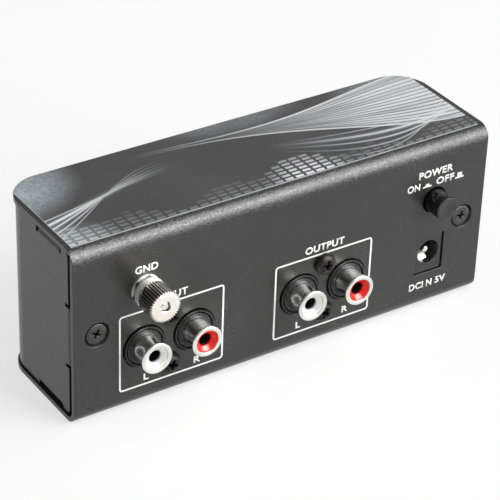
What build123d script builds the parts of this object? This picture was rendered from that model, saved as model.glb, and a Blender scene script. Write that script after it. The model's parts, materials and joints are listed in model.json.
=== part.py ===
from build123d import *
import math
import os

# A small phono preamp in a folded steel case. Units are millimetres.
# The origin is the middle of the case's underside. +Z is up, +X runs to the
# right along the connector panel, and the connector panel faces -Y.

# ---------------------------------------------------------------- case sizes
case_length = 120.0
case_depth = 35.5
case_height = 48.6
sheet = 1.2
# Heights of the sockets, controls and board parts keep their share of this.
height_share = case_height / 48.6
bend_radius = 3.6
plan_corner_radius = 9.2

# The end shell stands inside the cover's two plates.
end_inset = 0.45
back_inset = 0.5
plate_gap = 0.4
near_edge_gap = 1.9
near_corner_radius = 1.6

flange_bottom = 15.9 * height_share
flange_height = 16.0 * height_share
flange_reach = 10.8
flange_bend_radius = 2.2
flange_gap = 0.15
relief_notch = 1.5
relief_height = 1.0

tab_near_y = -10.6
tab_far_y = -0.4
tab_reach = 6.0
tab_bend_radius = 1.8
tab_notch = 0.9
lower_slot_height = 1.2
lower_slot_round = 0.8

# ------------------------------------------------------------- case screws
case_screw_edge = 6.4
case_screw_radius = 1.45
case_screw_head_radius = 2.7
case_screw_length = 7.0
case_screw_sink = 0.35
dimple_depth = 1.0
dimple_mouth_radius = 3.4
dimple_floor_radius = 2.9
screw_clearance = 0.05

# ------------------------------------------------------------------- label
label_thickness = 0.25
label_left_margin = 1.1
label_right_margin = 1.7
label_back_margin = 0.2
label_wrap_angle = 15.0

# ------------------------------------------------------- sockets (two pairs)
socket_height = 16.8 * height_share
socket_pitch = 14.0
input_pair_x = -33.9
output_pair_x = 10.7
socket_hole_radius = 5.85
socket_boss_radius = 5.5
socket_boss_proud = 0.45
socket_groove_outer = 5.05
socket_groove_inner = 4.65
socket_groove_depth = 1.05
socket_inner_ring_proud = 0.35
socket_block_width = 28.0
socket_block_height = 18.0 * height_share
socket_block_depth = 9.0

barrel_radius = 3.9
barrel_neck_radius = 3.35
barrel_bore_radius = 3.0
barrel_flange_radius = 4.15
barrel_flange_thickness = 0.7
barrel_flange_rise = 0.25
barrel_front = 6.3
barrel_rear_depth = 6.0
barrel_edge_round = 0.25
tail_width = 1.0
tail_thickness = 0.6

insert_recess = 0.3
plug_bore_radius = 1.65
funnel_depth = 0.9
funnel_rim = 0.22
contact_start_depth = 2.0
contact_bore_radius = plug_bore_radius
contact_radius = 2.0
contact_end = 0.6
contact_pin = 0.9
fit_clearance = 0.05

socket_screw_spread = 7.0 * height_share
socket_screw_hole = 1.6
socket_screw_radius = 1.2
socket_screw_length = 7.0
socket_screw_head_radius = 2.85
socket_screw_head_height = 2.0

# ---------------------------------------------------------- ground terminal
ground_x = -40.8
ground_z = 33.2 * height_share
stud_radius = 1.75
stud_clearance = 0.05
stud_hole_radius = stud_radius + 0.35
stud_reach = 8.5
stud_head_radius = 3.3
stud_head_height = 1.8
base_washer_radius = 3.9
base_washer_thickness = 0.7
hex_across_flats = 7.0
hex_height = 1.05
clamp_washer_radius = 4.0
clamp_washer_thickness = 0.7
collar_radius = 2.9
collar_length = 0.5
knurl_radius = 4.12
knurl_depth = 0.36
knurl_teeth = 36
knurl_length = 5.9
nut_lip_radius = 1.35
nut_lip_length = 0.7
lug_radius = 3.4
lug_thickness = 0.5
lug_tail_width = 2.8
lug_tail_length = 8.5
wire_radius = 0.6
wire_bend_radius = 2.0

# ------------------------------------------------------------- power switch
switch_x = 44.2
switch_z = 32.0 * height_share
button_radius = 3.25
button_hole_radius = button_radius + 0.4
button_reach = 5.65
button_rear_depth = 0.75
button_edge_round = 0.4
button_dish_depth = 0.3
plunger_side = 2.8
plunger_socket_depth = 4.4
plunger_flange_radius = 2.1
plunger_flange_thickness = 1.0
switch_side = 8.5
switch_body_depth = 6.85
switch_front_wall = 1.0
switch_rear_wall = 0.8
switch_cavity_radius = 2.35
slide_clearance = 0.06
spring_radius = 1.5
spring_wire_radius = 0.15
spring_turns = 4
switch_pin_columns = 5.0
switch_pin_rows = 2.5

# ----------------------------------------------------------------- dc inlet
inlet_x = 43.68
inlet_z = 16.62 * height_share
inlet_cutout_width = 9.0
inlet_cutout_height = 11.0
inlet_cutout_x = 43.8
inlet_cutout_z = inlet_z - 0.67
inlet_body_width = 8.3
inlet_body_height = 10.4
inlet_body_x = 43.6
inlet_body_z = inlet_z - 0.52
inlet_face_recess = 0.25
inlet_bore_radius = 3.25
inlet_bore_depth = 8.6
inlet_pin_radius = 1.0
inlet_pin_recess = 0.8
inlet_pin_tail_radius = 0.6
leaf_width = 2.6
leaf_thickness = 0.3
leaf_front_depth = 2.4
leaf_slot_depth = 0.9

# ------------------------------------------------------------ circuit board
board_length = 104.0
board_height = 36.0 * height_share
board_bottom = 4.5 * height_share
board_thickness = 1.6
pin_hole_radius = 0.72
lead_hole_radius = 0.5
lead_radius = 0.3
pin_stickout = 1.2
wire_pad_x = -49.0
wire_pad_z = 38.0 * height_share

# ----------------------------------------------------- parts on the board
amplifier_x = -10.0
amplifier_z = 19.5 * height_share
amplifier_length = 9.6
amplifier_width = 6.4
amplifier_height = 3.4
amplifier_standoff = 0.5
amplifier_leg_pitch = 2.54
amplifier_leg_rows = 7.62
amplifier_leg_width = 0.5
amplifier_leg_thickness = 0.3

film_first_x = -46.0
film_pitch = 6.0
film_count = 8
film_z = 33.6 * height_share
film_thickness = 2.6
film_length = 7.2 * height_share
film_height = 6.5
film_lead_pitch = 5.0

can_places = [(-11.5, 11.0), (-16.2, 26.6), (11.5, 27.6), (27.5, 27.6), (33.5, 34.6), (32.5, 13.0)]
can_spots = [(x, z * height_share) for x, z in can_places]
can_radius = 3.15 * height_share
can_height = 11.0
can_lead_pitch = 2.5
can_groove_height = 1.6
can_groove_depth = 0.25

resistor_columns = 6
resistor_first_x = -41.0
resistor_pitch = 12.4
resistor_rows = [6.8 * height_share, 38.7 * height_share]
resistor_length = 6.3
resistor_radius = 1.15
resistor_lead_pitch = 10.0
resistor_standoff = 0.3
lead_bend_radius = 0.8

diode_x = 31.0
diode_z = 22.0 * height_share
diode_length = 5.2
diode_radius = 1.35
diode_lead_pitch = 8.0

# ------------------------------------------------------------ derived values
half_length = case_length / 2
half_depth = case_depth / 2
inner_bend = bend_radius - sheet
panel_inner = sheet
board_front = panel_inner + socket_block_depth
board_back = board_front + board_thickness
pin_end = board_back + pin_stickout
screw_mid_z = case_height / 2
case_screw_x = half_length - case_screw_edge
socket_xs = {
    "input_left": input_pair_x - socket_pitch / 2,
    "input_right": input_pair_x + socket_pitch / 2,
    "output_left": output_pair_x - socket_pitch / 2,
    "output_right": output_pair_x + socket_pitch / 2,
}
socket_spots = [(x, socket_height) for x in socket_xs.values()]
socket_screw_spots = [
    (pair_x, socket_height + side * socket_screw_spread)
    for pair_x in (input_pair_x, output_pair_x)
    for side in (-1, 1)
]
tail_rise = (barrel_bore_radius + barrel_radius) / 2
tail_spots = [(x, socket_height + tail_rise) for x in socket_xs.values()]
insert_radius = barrel_bore_radius - fit_clearance

hex_base = base_washer_thickness
clamp_base = hex_base + hex_height
loose_base = clamp_base + clamp_washer_thickness
nut_base = loose_base + clamp_washer_thickness
knurl_base = nut_base + collar_length
nut_front = knurl_base + knurl_length

switch_front = board_front - switch_body_depth
plunger_stop = switch_front + switch_front_wall
spring_front = plunger_stop + plunger_flange_thickness
spring_rear = board_front - switch_rear_wall
switch_pin_spots = [
    (switch_x + column * switch_pin_columns / 2, switch_z + row * switch_pin_rows)
    for column in (-1, 1)
    for row in (-1, 0, 1)
]
leaf_z = inlet_z - inlet_bore_radius - leaf_slot_depth / 2
inlet_pin_spots = [(inlet_x, inlet_z), (inlet_x, leaf_z)]

film_xs = [film_first_x + film_pitch * index for index in range(film_count)]
film_lead_spots = [(x, film_z + side * film_lead_pitch / 2) for x in film_xs for side in (-1, 1)]
can_lead_spots = [(x + side * can_lead_pitch / 2, z) for x, z in can_spots for side in (-1, 1)]
resistor_spots = [
    (resistor_first_x + resistor_pitch * column, z)
    for column in range(resistor_columns)
    for z in resistor_rows
]
resistor_lead_spots = [(x + side * resistor_lead_pitch / 2, z) for x, z in resistor_spots for side in (-1, 1)]
diode_lead_spots = [(diode_x, diode_z + side * diode_lead_pitch / 2) for side in (-1, 1)]
amplifier_leg_spots = [
    (amplifier_x + (index - 1.5) * amplifier_leg_pitch, amplifier_z + side * amplifier_leg_rows / 2)
    for index in range(4)
    for side in (-1, 1)
]


def behind_face(distance):
    """Plane parallel to the connector panel, this far behind its outer face.

    Its normal points out of the panel, so a positive extrusion comes forward.
    A negative distance is in front of the panel. Local x is X, local y is Z.
    """
    return Plane.XZ.offset(half_depth - distance)


def save(builder, label):
    """Label a finished sub-part and write it as its own STEP file."""
    builder.part.label = label
    export_step(builder.part, f"parts/{label}.step")


os.makedirs("parts", exist_ok=True)

# ------------------------------------------------------------- cover shell
# One folded sheet: connector panel, top plate and bottom plate. It is open
# at both ends and at the back. The plates' back corners are rounded in plan.
with BuildPart() as cover_shell:
    with BuildSketch(Plane.XY) as cover_plan:
        Rectangle(case_length, case_depth)
        fillet(cover_plan.vertices().group_by(Axis.Y)[-1], plan_corner_radius)
    extrude(amount=case_height)
    fillet(cover_shell.edges().filter_by(Axis.X).group_by(Axis.Y)[0], bend_radius)
    with BuildSketch(Plane.YZ.offset(-case_length)) as cavity_profile:
        with Locations((sheet, screw_mid_z)):
            Rectangle(case_depth, case_height - 2 * sheet)
        fillet(cavity_profile.vertices().group_by(Axis.Y)[0], inner_bend)
    extrude(amount=2 * case_length, mode=Mode.SUBTRACT)
    # The panel is pressed in around each case screw.
    for side in (-1, 1):
        with BuildSketch(behind_face(sheet + dimple_depth)):
            with Locations((side * case_screw_x, screw_mid_z)):
                Circle(dimple_floor_radius + sheet / 2)
        with BuildSketch(behind_face(sheet)):
            with Locations((side * case_screw_x, screw_mid_z)):
                Circle(dimple_mouth_radius + sheet / 2)
        loft()
        with BuildSketch(behind_face(dimple_depth)):
            with Locations((side * case_screw_x, screw_mid_z)):
                Circle(dimple_floor_radius)
        with BuildSketch(behind_face(0)):
            with Locations((side * case_screw_x, screw_mid_z)):
                Circle(dimple_mouth_radius)
        loft(mode=Mode.SUBTRACT)
    # Countersunk hole in each dimple's floor.
    for side in (-1, 1):
        with BuildSketch(behind_face(sheet + dimple_depth)):
            with Locations((side * case_screw_x, screw_mid_z)):
                Circle(case_screw_radius + 2 * screw_clearance)
        with BuildSketch(behind_face(dimple_depth)):
            with Locations((side * case_screw_x, screw_mid_z)):
                Circle(case_screw_radius + 2 * screw_clearance + sheet)
        loft(mode=Mode.SUBTRACT)
    with BuildSketch(behind_face(panel_inner)):
        with Locations(*socket_spots):
            Circle(socket_hole_radius)
        with Locations(*socket_screw_spots):
            Circle(socket_screw_hole)
        with Locations((ground_x, ground_z)):
            Circle(stud_hole_radius)
        with Locations((switch_x, switch_z)):
            Circle(button_hole_radius)
        with Locations((inlet_cutout_x, inlet_cutout_z)):
            Rectangle(inlet_cutout_width, inlet_cutout_height)
    extrude(amount=2 * sheet, both=True, mode=Mode.SUBTRACT)
save(cover_shell, "cover_shell")

# --------------------------------------------------------------- end shell
# The other folded sheet: back panel and both end panels, bent about upright
# axes. Flanges at the near edges take the case screws, a small tab is folded
# in along the top edge of each end panel, and a vent slot is cut in its
# bottom edge.
end_outer_x = half_length - end_inset
end_back_y = half_depth - back_inset
end_near_y = -half_depth + sheet + near_edge_gap
end_bottom = sheet + plate_gap
end_top = case_height - sheet - plate_gap
end_bend = plan_corner_radius - end_inset
flange_face = sheet + flange_gap
with BuildPart() as end_shell:
    with BuildSketch(Plane.XY.offset(end_bottom)) as end_plan:
        with Locations((0, (end_back_y + end_near_y) / 2)):
            Rectangle(2 * end_outer_x, end_back_y - end_near_y)
        fillet(end_plan.vertices().group_by(Axis.Y)[-1], end_bend)
    extrude(amount=end_top - end_bottom)
    with BuildSketch(Plane.XY.offset(end_bottom)) as end_hollow:
        with Locations((0, (end_back_y + end_near_y) / 2 - sheet)):
            Rectangle(2 * (end_outer_x - sheet), end_back_y - end_near_y)
        fillet(end_hollow.vertices().group_by(Axis.Y)[-1], end_bend - sheet)
    extrude(amount=end_top - end_bottom, mode=Mode.SUBTRACT)
    fillet(end_shell.edges().filter_by(Axis.X).group_by(Axis.Y)[0], near_corner_radius)
    # Openings for the folded flange and tab, wider by their relief notches.
    with BuildSketch(Plane.YZ.offset(-case_length)):
        with Locations((end_near_y, flange_bottom + flange_height / 2)):
            Rectangle(2 * relief_notch, flange_height + 2 * relief_height)
        with Locations(((tab_near_y + tab_far_y) / 2, end_top)):
            Rectangle(tab_far_y - tab_near_y + 2 * tab_notch, 2 * tab_bend_radius)
    extrude(amount=2 * case_length, mode=Mode.SUBTRACT)
    # Vent slot in the bottom edge, its near upper corner rounded.
    with BuildSketch(Plane.YZ.offset(-case_length)) as slot_profile:
        with Locations(((tab_near_y + tab_far_y) / 2, end_bottom)):
            Rectangle(tab_far_y - tab_near_y + 2 * tab_notch, 2 * lower_slot_height)
        slot_corners = slot_profile.vertices().group_by(Axis.X)[0]
        fillet(slot_corners, lower_slot_round)
    extrude(amount=2 * case_length, mode=Mode.SUBTRACT)
    for side in (-1, 1):
        # Near flange: the end panel carried round a bend, lying on the panel.
        with BuildSketch(Plane.XY.offset(flange_bottom)):
            with BuildLine():
                outer_x = side * end_outer_x
                inner_x = side * (end_outer_x - sheet)
                face_y = -half_depth + flange_face
                root_y = end_near_y + relief_notch
                Line((outer_x, root_y), (inner_x, root_y))
                Line((inner_x, root_y), (inner_x, face_y + flange_bend_radius))
                RadiusArc(
                    (inner_x, face_y + flange_bend_radius),
                    (side * (end_outer_x - flange_bend_radius), face_y + sheet),
                    side * (flange_bend_radius - sheet),
                )
                reach_x = side * (end_outer_x - flange_reach)
                Line((side * (end_outer_x - flange_bend_radius), face_y + sheet), (reach_x, face_y + sheet))
                Line((reach_x, face_y + sheet), (reach_x, face_y))
                Line((reach_x, face_y), (side * (end_outer_x - flange_bend_radius), face_y))
                RadiusArc(
                    (side * (end_outer_x - flange_bend_radius), face_y),
                    (outer_x, face_y + flange_bend_radius),
                    -side * flange_bend_radius,
                )
                Line((outer_x, face_y + flange_bend_radius), (outer_x, root_y))
            make_face()
        extrude(amount=flange_height)
        # Folded tab along the top edge.
        with BuildSketch(Plane.XZ.offset(-tab_far_y)):
            with BuildLine():
                outer_x = side * end_outer_x
                inner_x = side * (end_outer_x - sheet)
                bend_x = side * (end_outer_x - tab_bend_radius)
                reach_x = side * (end_outer_x - tab_reach)
                root_z = end_top - tab_bend_radius
                face_z = end_top - sheet
                Line((outer_x, root_z), (inner_x, root_z))
                RadiusArc((inner_x, root_z), (bend_x, face_z), -side * (tab_bend_radius - sheet))
                Line((bend_x, face_z), (reach_x, face_z))
                Line((reach_x, face_z), (reach_x, end_top))
                Line((reach_x, end_top), (bend_x, end_top))
                RadiusArc((bend_x, end_top), (outer_x, root_z), side * tab_bend_radius)
            make_face()
        extrude(amount=tab_far_y - tab_near_y)
        # The flange is pressed in around the screw as the panel is.
        with BuildSketch(behind_face(flange_face + sheet + dimple_depth)):
            with Locations((side * case_screw_x, screw_mid_z)):
                Circle(dimple_floor_radius + sheet)
        with BuildSketch(behind_face(flange_face + sheet)):
            with Locations((side * case_screw_x, screw_mid_z)):
                Circle(dimple_mouth_radius + sheet)
        loft()
        with BuildSketch(behind_face(flange_face + dimple_depth)):
            with Locations((side * case_screw_x, screw_mid_z)):
                Circle(dimple_floor_radius + sheet / 2 + 2 * screw_clearance)
        with BuildSketch(behind_face(flange_face)):
            with Locations((side * case_screw_x, screw_mid_z)):
                Circle(dimple_mouth_radius + sheet / 2 + 2 * screw_clearance)
        loft(mode=Mode.SUBTRACT)
    with BuildSketch(behind_face(2 * sheet)):
        with Locations((-case_screw_x, screw_mid_z), (case_screw_x, screw_mid_z)):
            Circle(case_screw_radius + screw_clearance)
    extrude(amount=3 * sheet, both=True, mode=Mode.SUBTRACT)
save(end_shell, "end_shell")

# -------------------------------------------------------------- top label
# A thin printed overlay on the top plate, cut to the plate's rounded back
# corners, its near edge lying a little way over the bend.
label_left_x = -half_length + label_left_margin
label_right_x = half_length - label_right_margin
label_length = label_right_x - label_left_x
bend_axis_y = -half_depth + bend_radius
bend_axis_z = case_height - bend_radius
label_outer = bend_radius + label_thickness
wrap = math.radians(label_wrap_angle)
with BuildPart() as top_label:
    with BuildSketch(Plane.XY.offset(case_height)) as label_plan:
        Rectangle(case_length - 2 * label_back_margin, case_depth - 2 * label_back_margin)
        fillet(label_plan.vertices().group_by(Axis.Y)[-1], plan_corner_radius - label_back_margin)
        with Locations(((label_left_x + label_right_x) / 2, bend_axis_y + case_depth / 2)):
            Rectangle(label_length, case_depth, mode=Mode.INTERSECT)
    extrude(amount=label_thickness)
    with BuildSketch(Plane.YZ.offset(label_left_x)):
        with BuildLine():
            top_inner = (bend_axis_y, case_height)
            top_outer = (bend_axis_y, case_height + label_thickness)
            low_inner = (
                bend_axis_y - bend_radius * math.sin(wrap),
                bend_axis_z + bend_radius * math.cos(wrap),
            )
            low_outer = (
                bend_axis_y - label_outer * math.sin(wrap),
                bend_axis_z + label_outer * math.cos(wrap),
            )
            Line(top_inner, top_outer)
            RadiusArc(top_outer, low_outer, -label_outer)
            Line(low_outer, low_inner)
            RadiusArc(low_inner, top_inner, bend_radius)
        make_face()
    extrude(amount=label_length)
save(top_label, "top_label")

# ------------------------------------------------------------- case screws
# Countersunk cross-head screws, their plain shanks standing for the thread.
head_cone = case_screw_head_radius - case_screw_radius
with BuildPart() as case_screws:
    for side in (-1, 1):
        with BuildSketch(behind_face(case_screw_sink + head_cone)):
            with Locations((side * case_screw_x, screw_mid_z)):
                Circle(case_screw_radius)
        with BuildSketch(behind_face(case_screw_sink)):
            with Locations((side * case_screw_x, screw_mid_z)):
                Circle(case_screw_head_radius)
        loft()
        with BuildSketch(behind_face(case_screw_sink + head_cone)):
            with Locations((side * case_screw_x, screw_mid_z)):
                Circle(case_screw_radius)
        extrude(amount=-(case_screw_length - head_cone))
        with BuildSketch(behind_face(case_screw_sink)):
            with Locations((side * case_screw_x, screw_mid_z)):
                Rectangle(0.55 * 2 * case_screw_head_radius, 0.5)
                Rectangle(0.5, 0.55 * 2 * case_screw_head_radius)
        extrude(amount=-0.8, mode=Mode.SUBTRACT)
save(case_screws, "case_screws")


# ----------------------------------------------------------------- sockets
def make_socket_block(pair_x):
    """Black moulded block that carries one pair of sockets."""
    spots = [(pair_x - socket_pitch / 2, socket_height), (pair_x + socket_pitch / 2, socket_height)]
    stem_radius = contact_radius + 2 * fit_clearance
    with BuildPart() as block:
        with BuildSketch(behind_face(board_front)):
            with Locations((pair_x, socket_height)):
                RectangleRounded(socket_block_width, socket_block_height, 1.0)
        extrude(amount=socket_block_depth)
        # Round bosses come forward through the panel's holes.
        with BuildSketch(behind_face(panel_inner)):
            with Locations(*spots):
                Circle(socket_boss_radius)
        extrude(amount=panel_inner + socket_boss_proud)
        with BuildSketch(behind_face(-socket_boss_proud)):
            with Locations(*spots):
                Circle(socket_groove_outer)
        extrude(amount=-(socket_boss_proud - socket_inner_ring_proud), mode=Mode.SUBTRACT)
        with BuildSketch(behind_face(-socket_boss_proud)):
            with Locations(*spots):
                Circle(socket_groove_outer)
                Circle(socket_groove_inner, mode=Mode.SUBTRACT)
        extrude(amount=-(socket_groove_depth + socket_boss_proud), mode=Mode.SUBTRACT)
        # Stepped bore for the barrel, the contact and its pin.
        with BuildSketch(behind_face(barrel_rear_depth)):
            with Locations(*spots):
                Circle(barrel_radius + fit_clearance)
        extrude(amount=barrel_rear_depth + 2 * socket_boss_proud, mode=Mode.SUBTRACT)
        with BuildSketch(behind_face(barrel_rear_depth + contact_end)):
            with Locations(*spots):
                Circle(stem_radius)
        extrude(amount=contact_end, mode=Mode.SUBTRACT)
        with BuildSketch(behind_face(board_front)):
            with Locations(*spots):
                Rectangle(contact_pin + 2 * fit_clearance, contact_pin + 2 * fit_clearance)
            with Locations(*[(x, z + tail_rise) for x, z in spots]):
                Rectangle(tail_width + 2 * fit_clearance, tail_thickness + 2 * fit_clearance)
        extrude(amount=board_front - barrel_rear_depth, mode=Mode.SUBTRACT)
        with BuildSketch(behind_face(panel_inner)):
            for side in (-1, 1):
                with Locations((pair_x, socket_height + side * socket_screw_spread)):
                    Circle(socket_screw_radius + fit_clearance)
        extrude(amount=-socket_screw_length, mode=Mode.SUBTRACT)
    return block


save(make_socket_block(input_pair_x), "input_socket_block")
save(make_socket_block(output_pair_x), "output_socket_block")


def make_barrel(x):
    """Nickel-plated outer contact: a waisted tube with a rolled front flange."""
    flange_back = barrel_front - barrel_flange_thickness
    neck_end = flange_back - barrel_flange_rise
    axis_plane = Plane(
        origin=(x, -half_depth, socket_height), x_dir=(1, 0, 0), z_dir=(0, 0, 1)
    )
    with BuildPart() as barrel:
        # The profile's local y runs along Y, so it is negative in front of the panel.
        with BuildSketch(axis_plane):
            with BuildLine():
                Polyline(
                    (barrel_bore_radius, barrel_rear_depth),
                    (barrel_radius, barrel_rear_depth),
                    (barrel_radius, -socket_inner_ring_proud),
                    (barrel_neck_radius, -neck_end),
                    (barrel_flange_radius, -flange_back),
                    (barrel_flange_radius, -barrel_front),
                    (barrel_bore_radius, -barrel_front),
                    close=True,
                )
            make_face()
        revolve(axis=Axis((x, 0, socket_height), (0, 1, 0)))
        front_rims = barrel.edges().filter_by(GeomType.CIRCLE).group_by(Axis.Y)[0]
        fillet(front_rims, barrel_edge_round)
        with BuildSketch(behind_face(pin_end)):
            with Locations((x, socket_height + tail_rise)):
                Rectangle(tail_width, tail_thickness)
        extrude(amount=pin_end - barrel_rear_depth + fit_clearance)
    return barrel


def make_insert(x):
    """Coloured insulator inside a barrel, with a funnel leading to the plug's bore."""
    front = barrel_front - insert_recess
    with BuildPart() as insert:
        with BuildSketch(behind_face(barrel_rear_depth)):
            with Locations((x, socket_height)):
                Circle(insert_radius)
        extrude(amount=barrel_rear_depth + front)
        with BuildSketch(behind_face(-front + funnel_depth)):
            with Locations((x, socket_height)):
                Circle(plug_bore_radius)
        with BuildSketch(behind_face(-front)):
            with Locations((x, socket_height)):
                Circle(insert_radius - funnel_rim)
        loft(mode=Mode.SUBTRACT)
        with BuildSketch(behind_face(barrel_rear_depth)):
            with Locations((x, socket_height)):
                Circle(plug_bore_radius)
        extrude(amount=barrel_rear_depth + front, mode=Mode.SUBTRACT)
        with BuildSketch(behind_face(barrel_rear_depth)):
            with Locations((x, socket_height)):
                Circle(contact_radius + fit_clearance)
        extrude(amount=barrel_rear_depth - contact_start_depth, mode=Mode.SUBTRACT)
    return insert


for socket_name, socket_x in socket_xs.items():
    save(make_barrel(socket_x), f"{socket_name}_barrel")
    save(make_insert(socket_x), f"{socket_name}_insert")

# Centre contacts: a short tube that grips the plug's pin, and a solder pin.
with BuildPart() as centre_contacts:
    with BuildSketch(behind_face(barrel_rear_depth + contact_end)):
        with Locations(*socket_spots):
            Circle(contact_radius)
    extrude(amount=barrel_rear_depth + contact_end - contact_start_depth - fit_clearance)
    with BuildSketch(behind_face(barrel_rear_depth)):
        with Locations(*socket_spots):
            Circle(contact_bore_radius)
    extrude(amount=barrel_rear_depth, mode=Mode.SUBTRACT)
    with BuildSketch(behind_face(pin_end)):
        with Locations(*socket_spots):
            Rectangle(contact_pin, contact_pin)
    extrude(amount=pin_end - barrel_rear_depth - contact_end / 2)
save(centre_contacts, "socket_centre_contacts")

# Pan-head screws that hold the socket blocks to the panel.
with BuildPart() as socket_screws:
    with BuildSketch(behind_face(0)):
        with Locations(*socket_screw_spots):
            Circle(socket_screw_head_radius)
    extrude(amount=socket_screw_head_height)
    fillet(
        socket_screws.edges().filter_by(GeomType.CIRCLE).group_by(Axis.Y)[0],
        0.6 * socket_screw_head_height,
    )
    with BuildSketch(behind_face(0)):
        with Locations(*socket_screw_spots):
            Circle(socket_screw_radius)
    extrude(amount=-socket_screw_length)
    with BuildSketch(behind_face(-socket_screw_head_height)):
        with Locations(*socket_screw_spots):
            Rectangle(0.5 * 2 * socket_screw_head_radius, 0.55)
            Rectangle(0.55, 0.5 * 2 * socket_screw_head_radius)
    extrude(amount=-1.2, mode=Mode.SUBTRACT)
save(socket_screws, "socket_screws")

# --------------------------------------------------------- ground terminal
washer_hole = stud_radius + stud_clearance


def make_washer(base, radius, thickness):
    """Plain washer on the ground stud, this far in front of the panel."""
    with BuildPart() as washer:
        with BuildSketch(behind_face(-base)):
            with Locations((ground_x, ground_z)):
                Circle(radius)
                Circle(washer_hole, mode=Mode.SUBTRACT)
        extrude(amount=thickness)
        fillet(washer.edges().filter_by(GeomType.CIRCLE).sort_by(SortBy.RADIUS)[-2:], thickness / 4)
    return washer


with BuildPart() as ground_stud:
    with BuildSketch(behind_face(panel_inner + lug_thickness)):
        with Locations((ground_x, ground_z)):
            Circle(stud_radius)
    extrude(amount=panel_inner + lug_thickness + stud_reach)
    chamfer(ground_stud.edges().filter_by(GeomType.CIRCLE).group_by(Axis.Y)[0], 0.35)
    with BuildSketch(behind_face(panel_inner + lug_thickness + stud_head_height)):
        with Locations((ground_x, ground_z)):
            Circle(stud_head_radius)
    extrude(amount=stud_head_height)
save(ground_stud, "ground_stud")

save(make_washer(0, base_washer_radius, base_washer_thickness), "ground_base_washer")

with BuildPart() as ground_hex_nut:
    with BuildSketch(behind_face(-hex_base)):
        with Locations((ground_x, ground_z)):
            RegularPolygon(hex_across_flats / 2, 6, major_radius=False, rotation=12)
            Circle(washer_hole, mode=Mode.SUBTRACT)
    extrude(amount=hex_height)
save(ground_hex_nut, "ground_hex_nut")

save(make_washer(clamp_base, clamp_washer_radius, clamp_washer_thickness), "ground_rear_washer")
save(make_washer(loose_base, clamp_washer_radius, clamp_washer_thickness), "ground_front_washer")

# Thumb nut: a short collar behind a straight-knurled head, its hole narrower at the front.
tooth_angle = math.pi / knurl_teeth
knurl_outline = [
    (
        ground_x + (knurl_radius - knurl_depth * (index % 2)) * math.cos(index * tooth_angle),
        ground_z + (knurl_radius - knurl_depth * (index % 2)) * math.sin(index * tooth_angle),
    )
    for index in range(2 * knurl_teeth)
]
with BuildPart() as ground_thumb_nut:
    with BuildSketch(behind_face(-nut_base)):
        with Locations((ground_x, ground_z)):
            Circle(collar_radius)
    extrude(amount=collar_length)
    with BuildSketch(behind_face(-knurl_base)):
        with BuildLine():
            Polyline(*knurl_outline, close=True)
        make_face()
    extrude(amount=knurl_length)
    with BuildSketch(behind_face(-nut_base)):
        with Locations((ground_x, ground_z)):
            Circle(washer_hole)
    extrude(amount=collar_length + knurl_length - nut_lip_length, mode=Mode.SUBTRACT)
    with BuildSketch(behind_face(-nut_base)):
        with Locations((ground_x, ground_z)):
            Circle(nut_lip_radius)
    extrude(amount=collar_length + knurl_length, mode=Mode.SUBTRACT)
save(ground_thumb_nut, "ground_thumb_nut")

# Solder lug under the stud's head, and the lead from it to the board.
lug_tail_end = ground_z + lug_tail_length
with BuildPart() as ground_lug:
    with BuildSketch(behind_face(panel_inner + lug_thickness)):
        with Locations((ground_x, ground_z)):
            Circle(lug_radius)
        with Locations((ground_x, ground_z + lug_tail_length / 2)):
            Rectangle(lug_tail_width, lug_tail_length)
        with Locations((ground_x, ground_z)):
            Circle(stud_radius + stud_clearance, mode=Mode.SUBTRACT)
    extrude(amount=lug_thickness)
    fillet(ground_lug.edges().filter_by(Axis.Y).group_by(Axis.Z)[-1], lug_tail_width / 3)
save(ground_lug, "ground_lug")

lug_back_y = -half_depth + panel_inner + lug_thickness
board_front_y = -half_depth + board_front
pin_end_y = -half_depth + pin_end
wire_turn_y = (lug_back_y + board_front_y) / 2
wire_start_z = lug_tail_end - lug_tail_width / 2
with BuildPart() as ground_wire:
    with BuildLine() as wire_route:
        FilletPolyline(
            (ground_x, lug_back_y, wire_start_z),
            (ground_x, wire_turn_y, wire_start_z),
            (wire_pad_x, wire_turn_y, wire_pad_z),
            (wire_pad_x, pin_end_y, wire_pad_z),
            radius=wire_bend_radius,
        )
    with BuildSketch(Plane(origin=(ground_x, lug_back_y, wire_start_z), z_dir=(0, 1, 0))):
        Circle(wire_radius)
    sweep(path=wire_route.line)
save(ground_wire, "ground_wire")

# ------------------------------------------------------------ power switch
with BuildPart() as switch_body:
    with BuildSketch(behind_face(board_front)):
        with Locations((switch_x, switch_z)):
            RectangleRounded(switch_side, switch_side, 0.4)
    extrude(amount=switch_body_depth)
    with BuildSketch(behind_face(spring_rear)):
        with Locations((switch_x, switch_z)):
            Circle(switch_cavity_radius)
    extrude(amount=spring_rear - plunger_stop, mode=Mode.SUBTRACT)
    with BuildSketch(behind_face(plunger_stop)):
        with Locations((switch_x, switch_z)):
            Rectangle(plunger_side + 2 * slide_clearance, plunger_side + 2 * slide_clearance)
    extrude(amount=switch_front_wall, mode=Mode.SUBTRACT)
save(switch_body, "switch_body")

plunger_front = plunger_socket_depth - button_rear_depth
with BuildPart() as switch_plunger:
    with BuildSketch(behind_face(plunger_stop)):
        with Locations((switch_x, switch_z)):
            Rectangle(plunger_side, plunger_side)
    extrude(amount=plunger_stop + plunger_front)
    with BuildSketch(behind_face(spring_front)):
        with Locations((switch_x, switch_z)):
            Circle(plunger_flange_radius)
    extrude(amount=plunger_flange_thickness)
save(switch_plunger, "switch_plunger")

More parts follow.
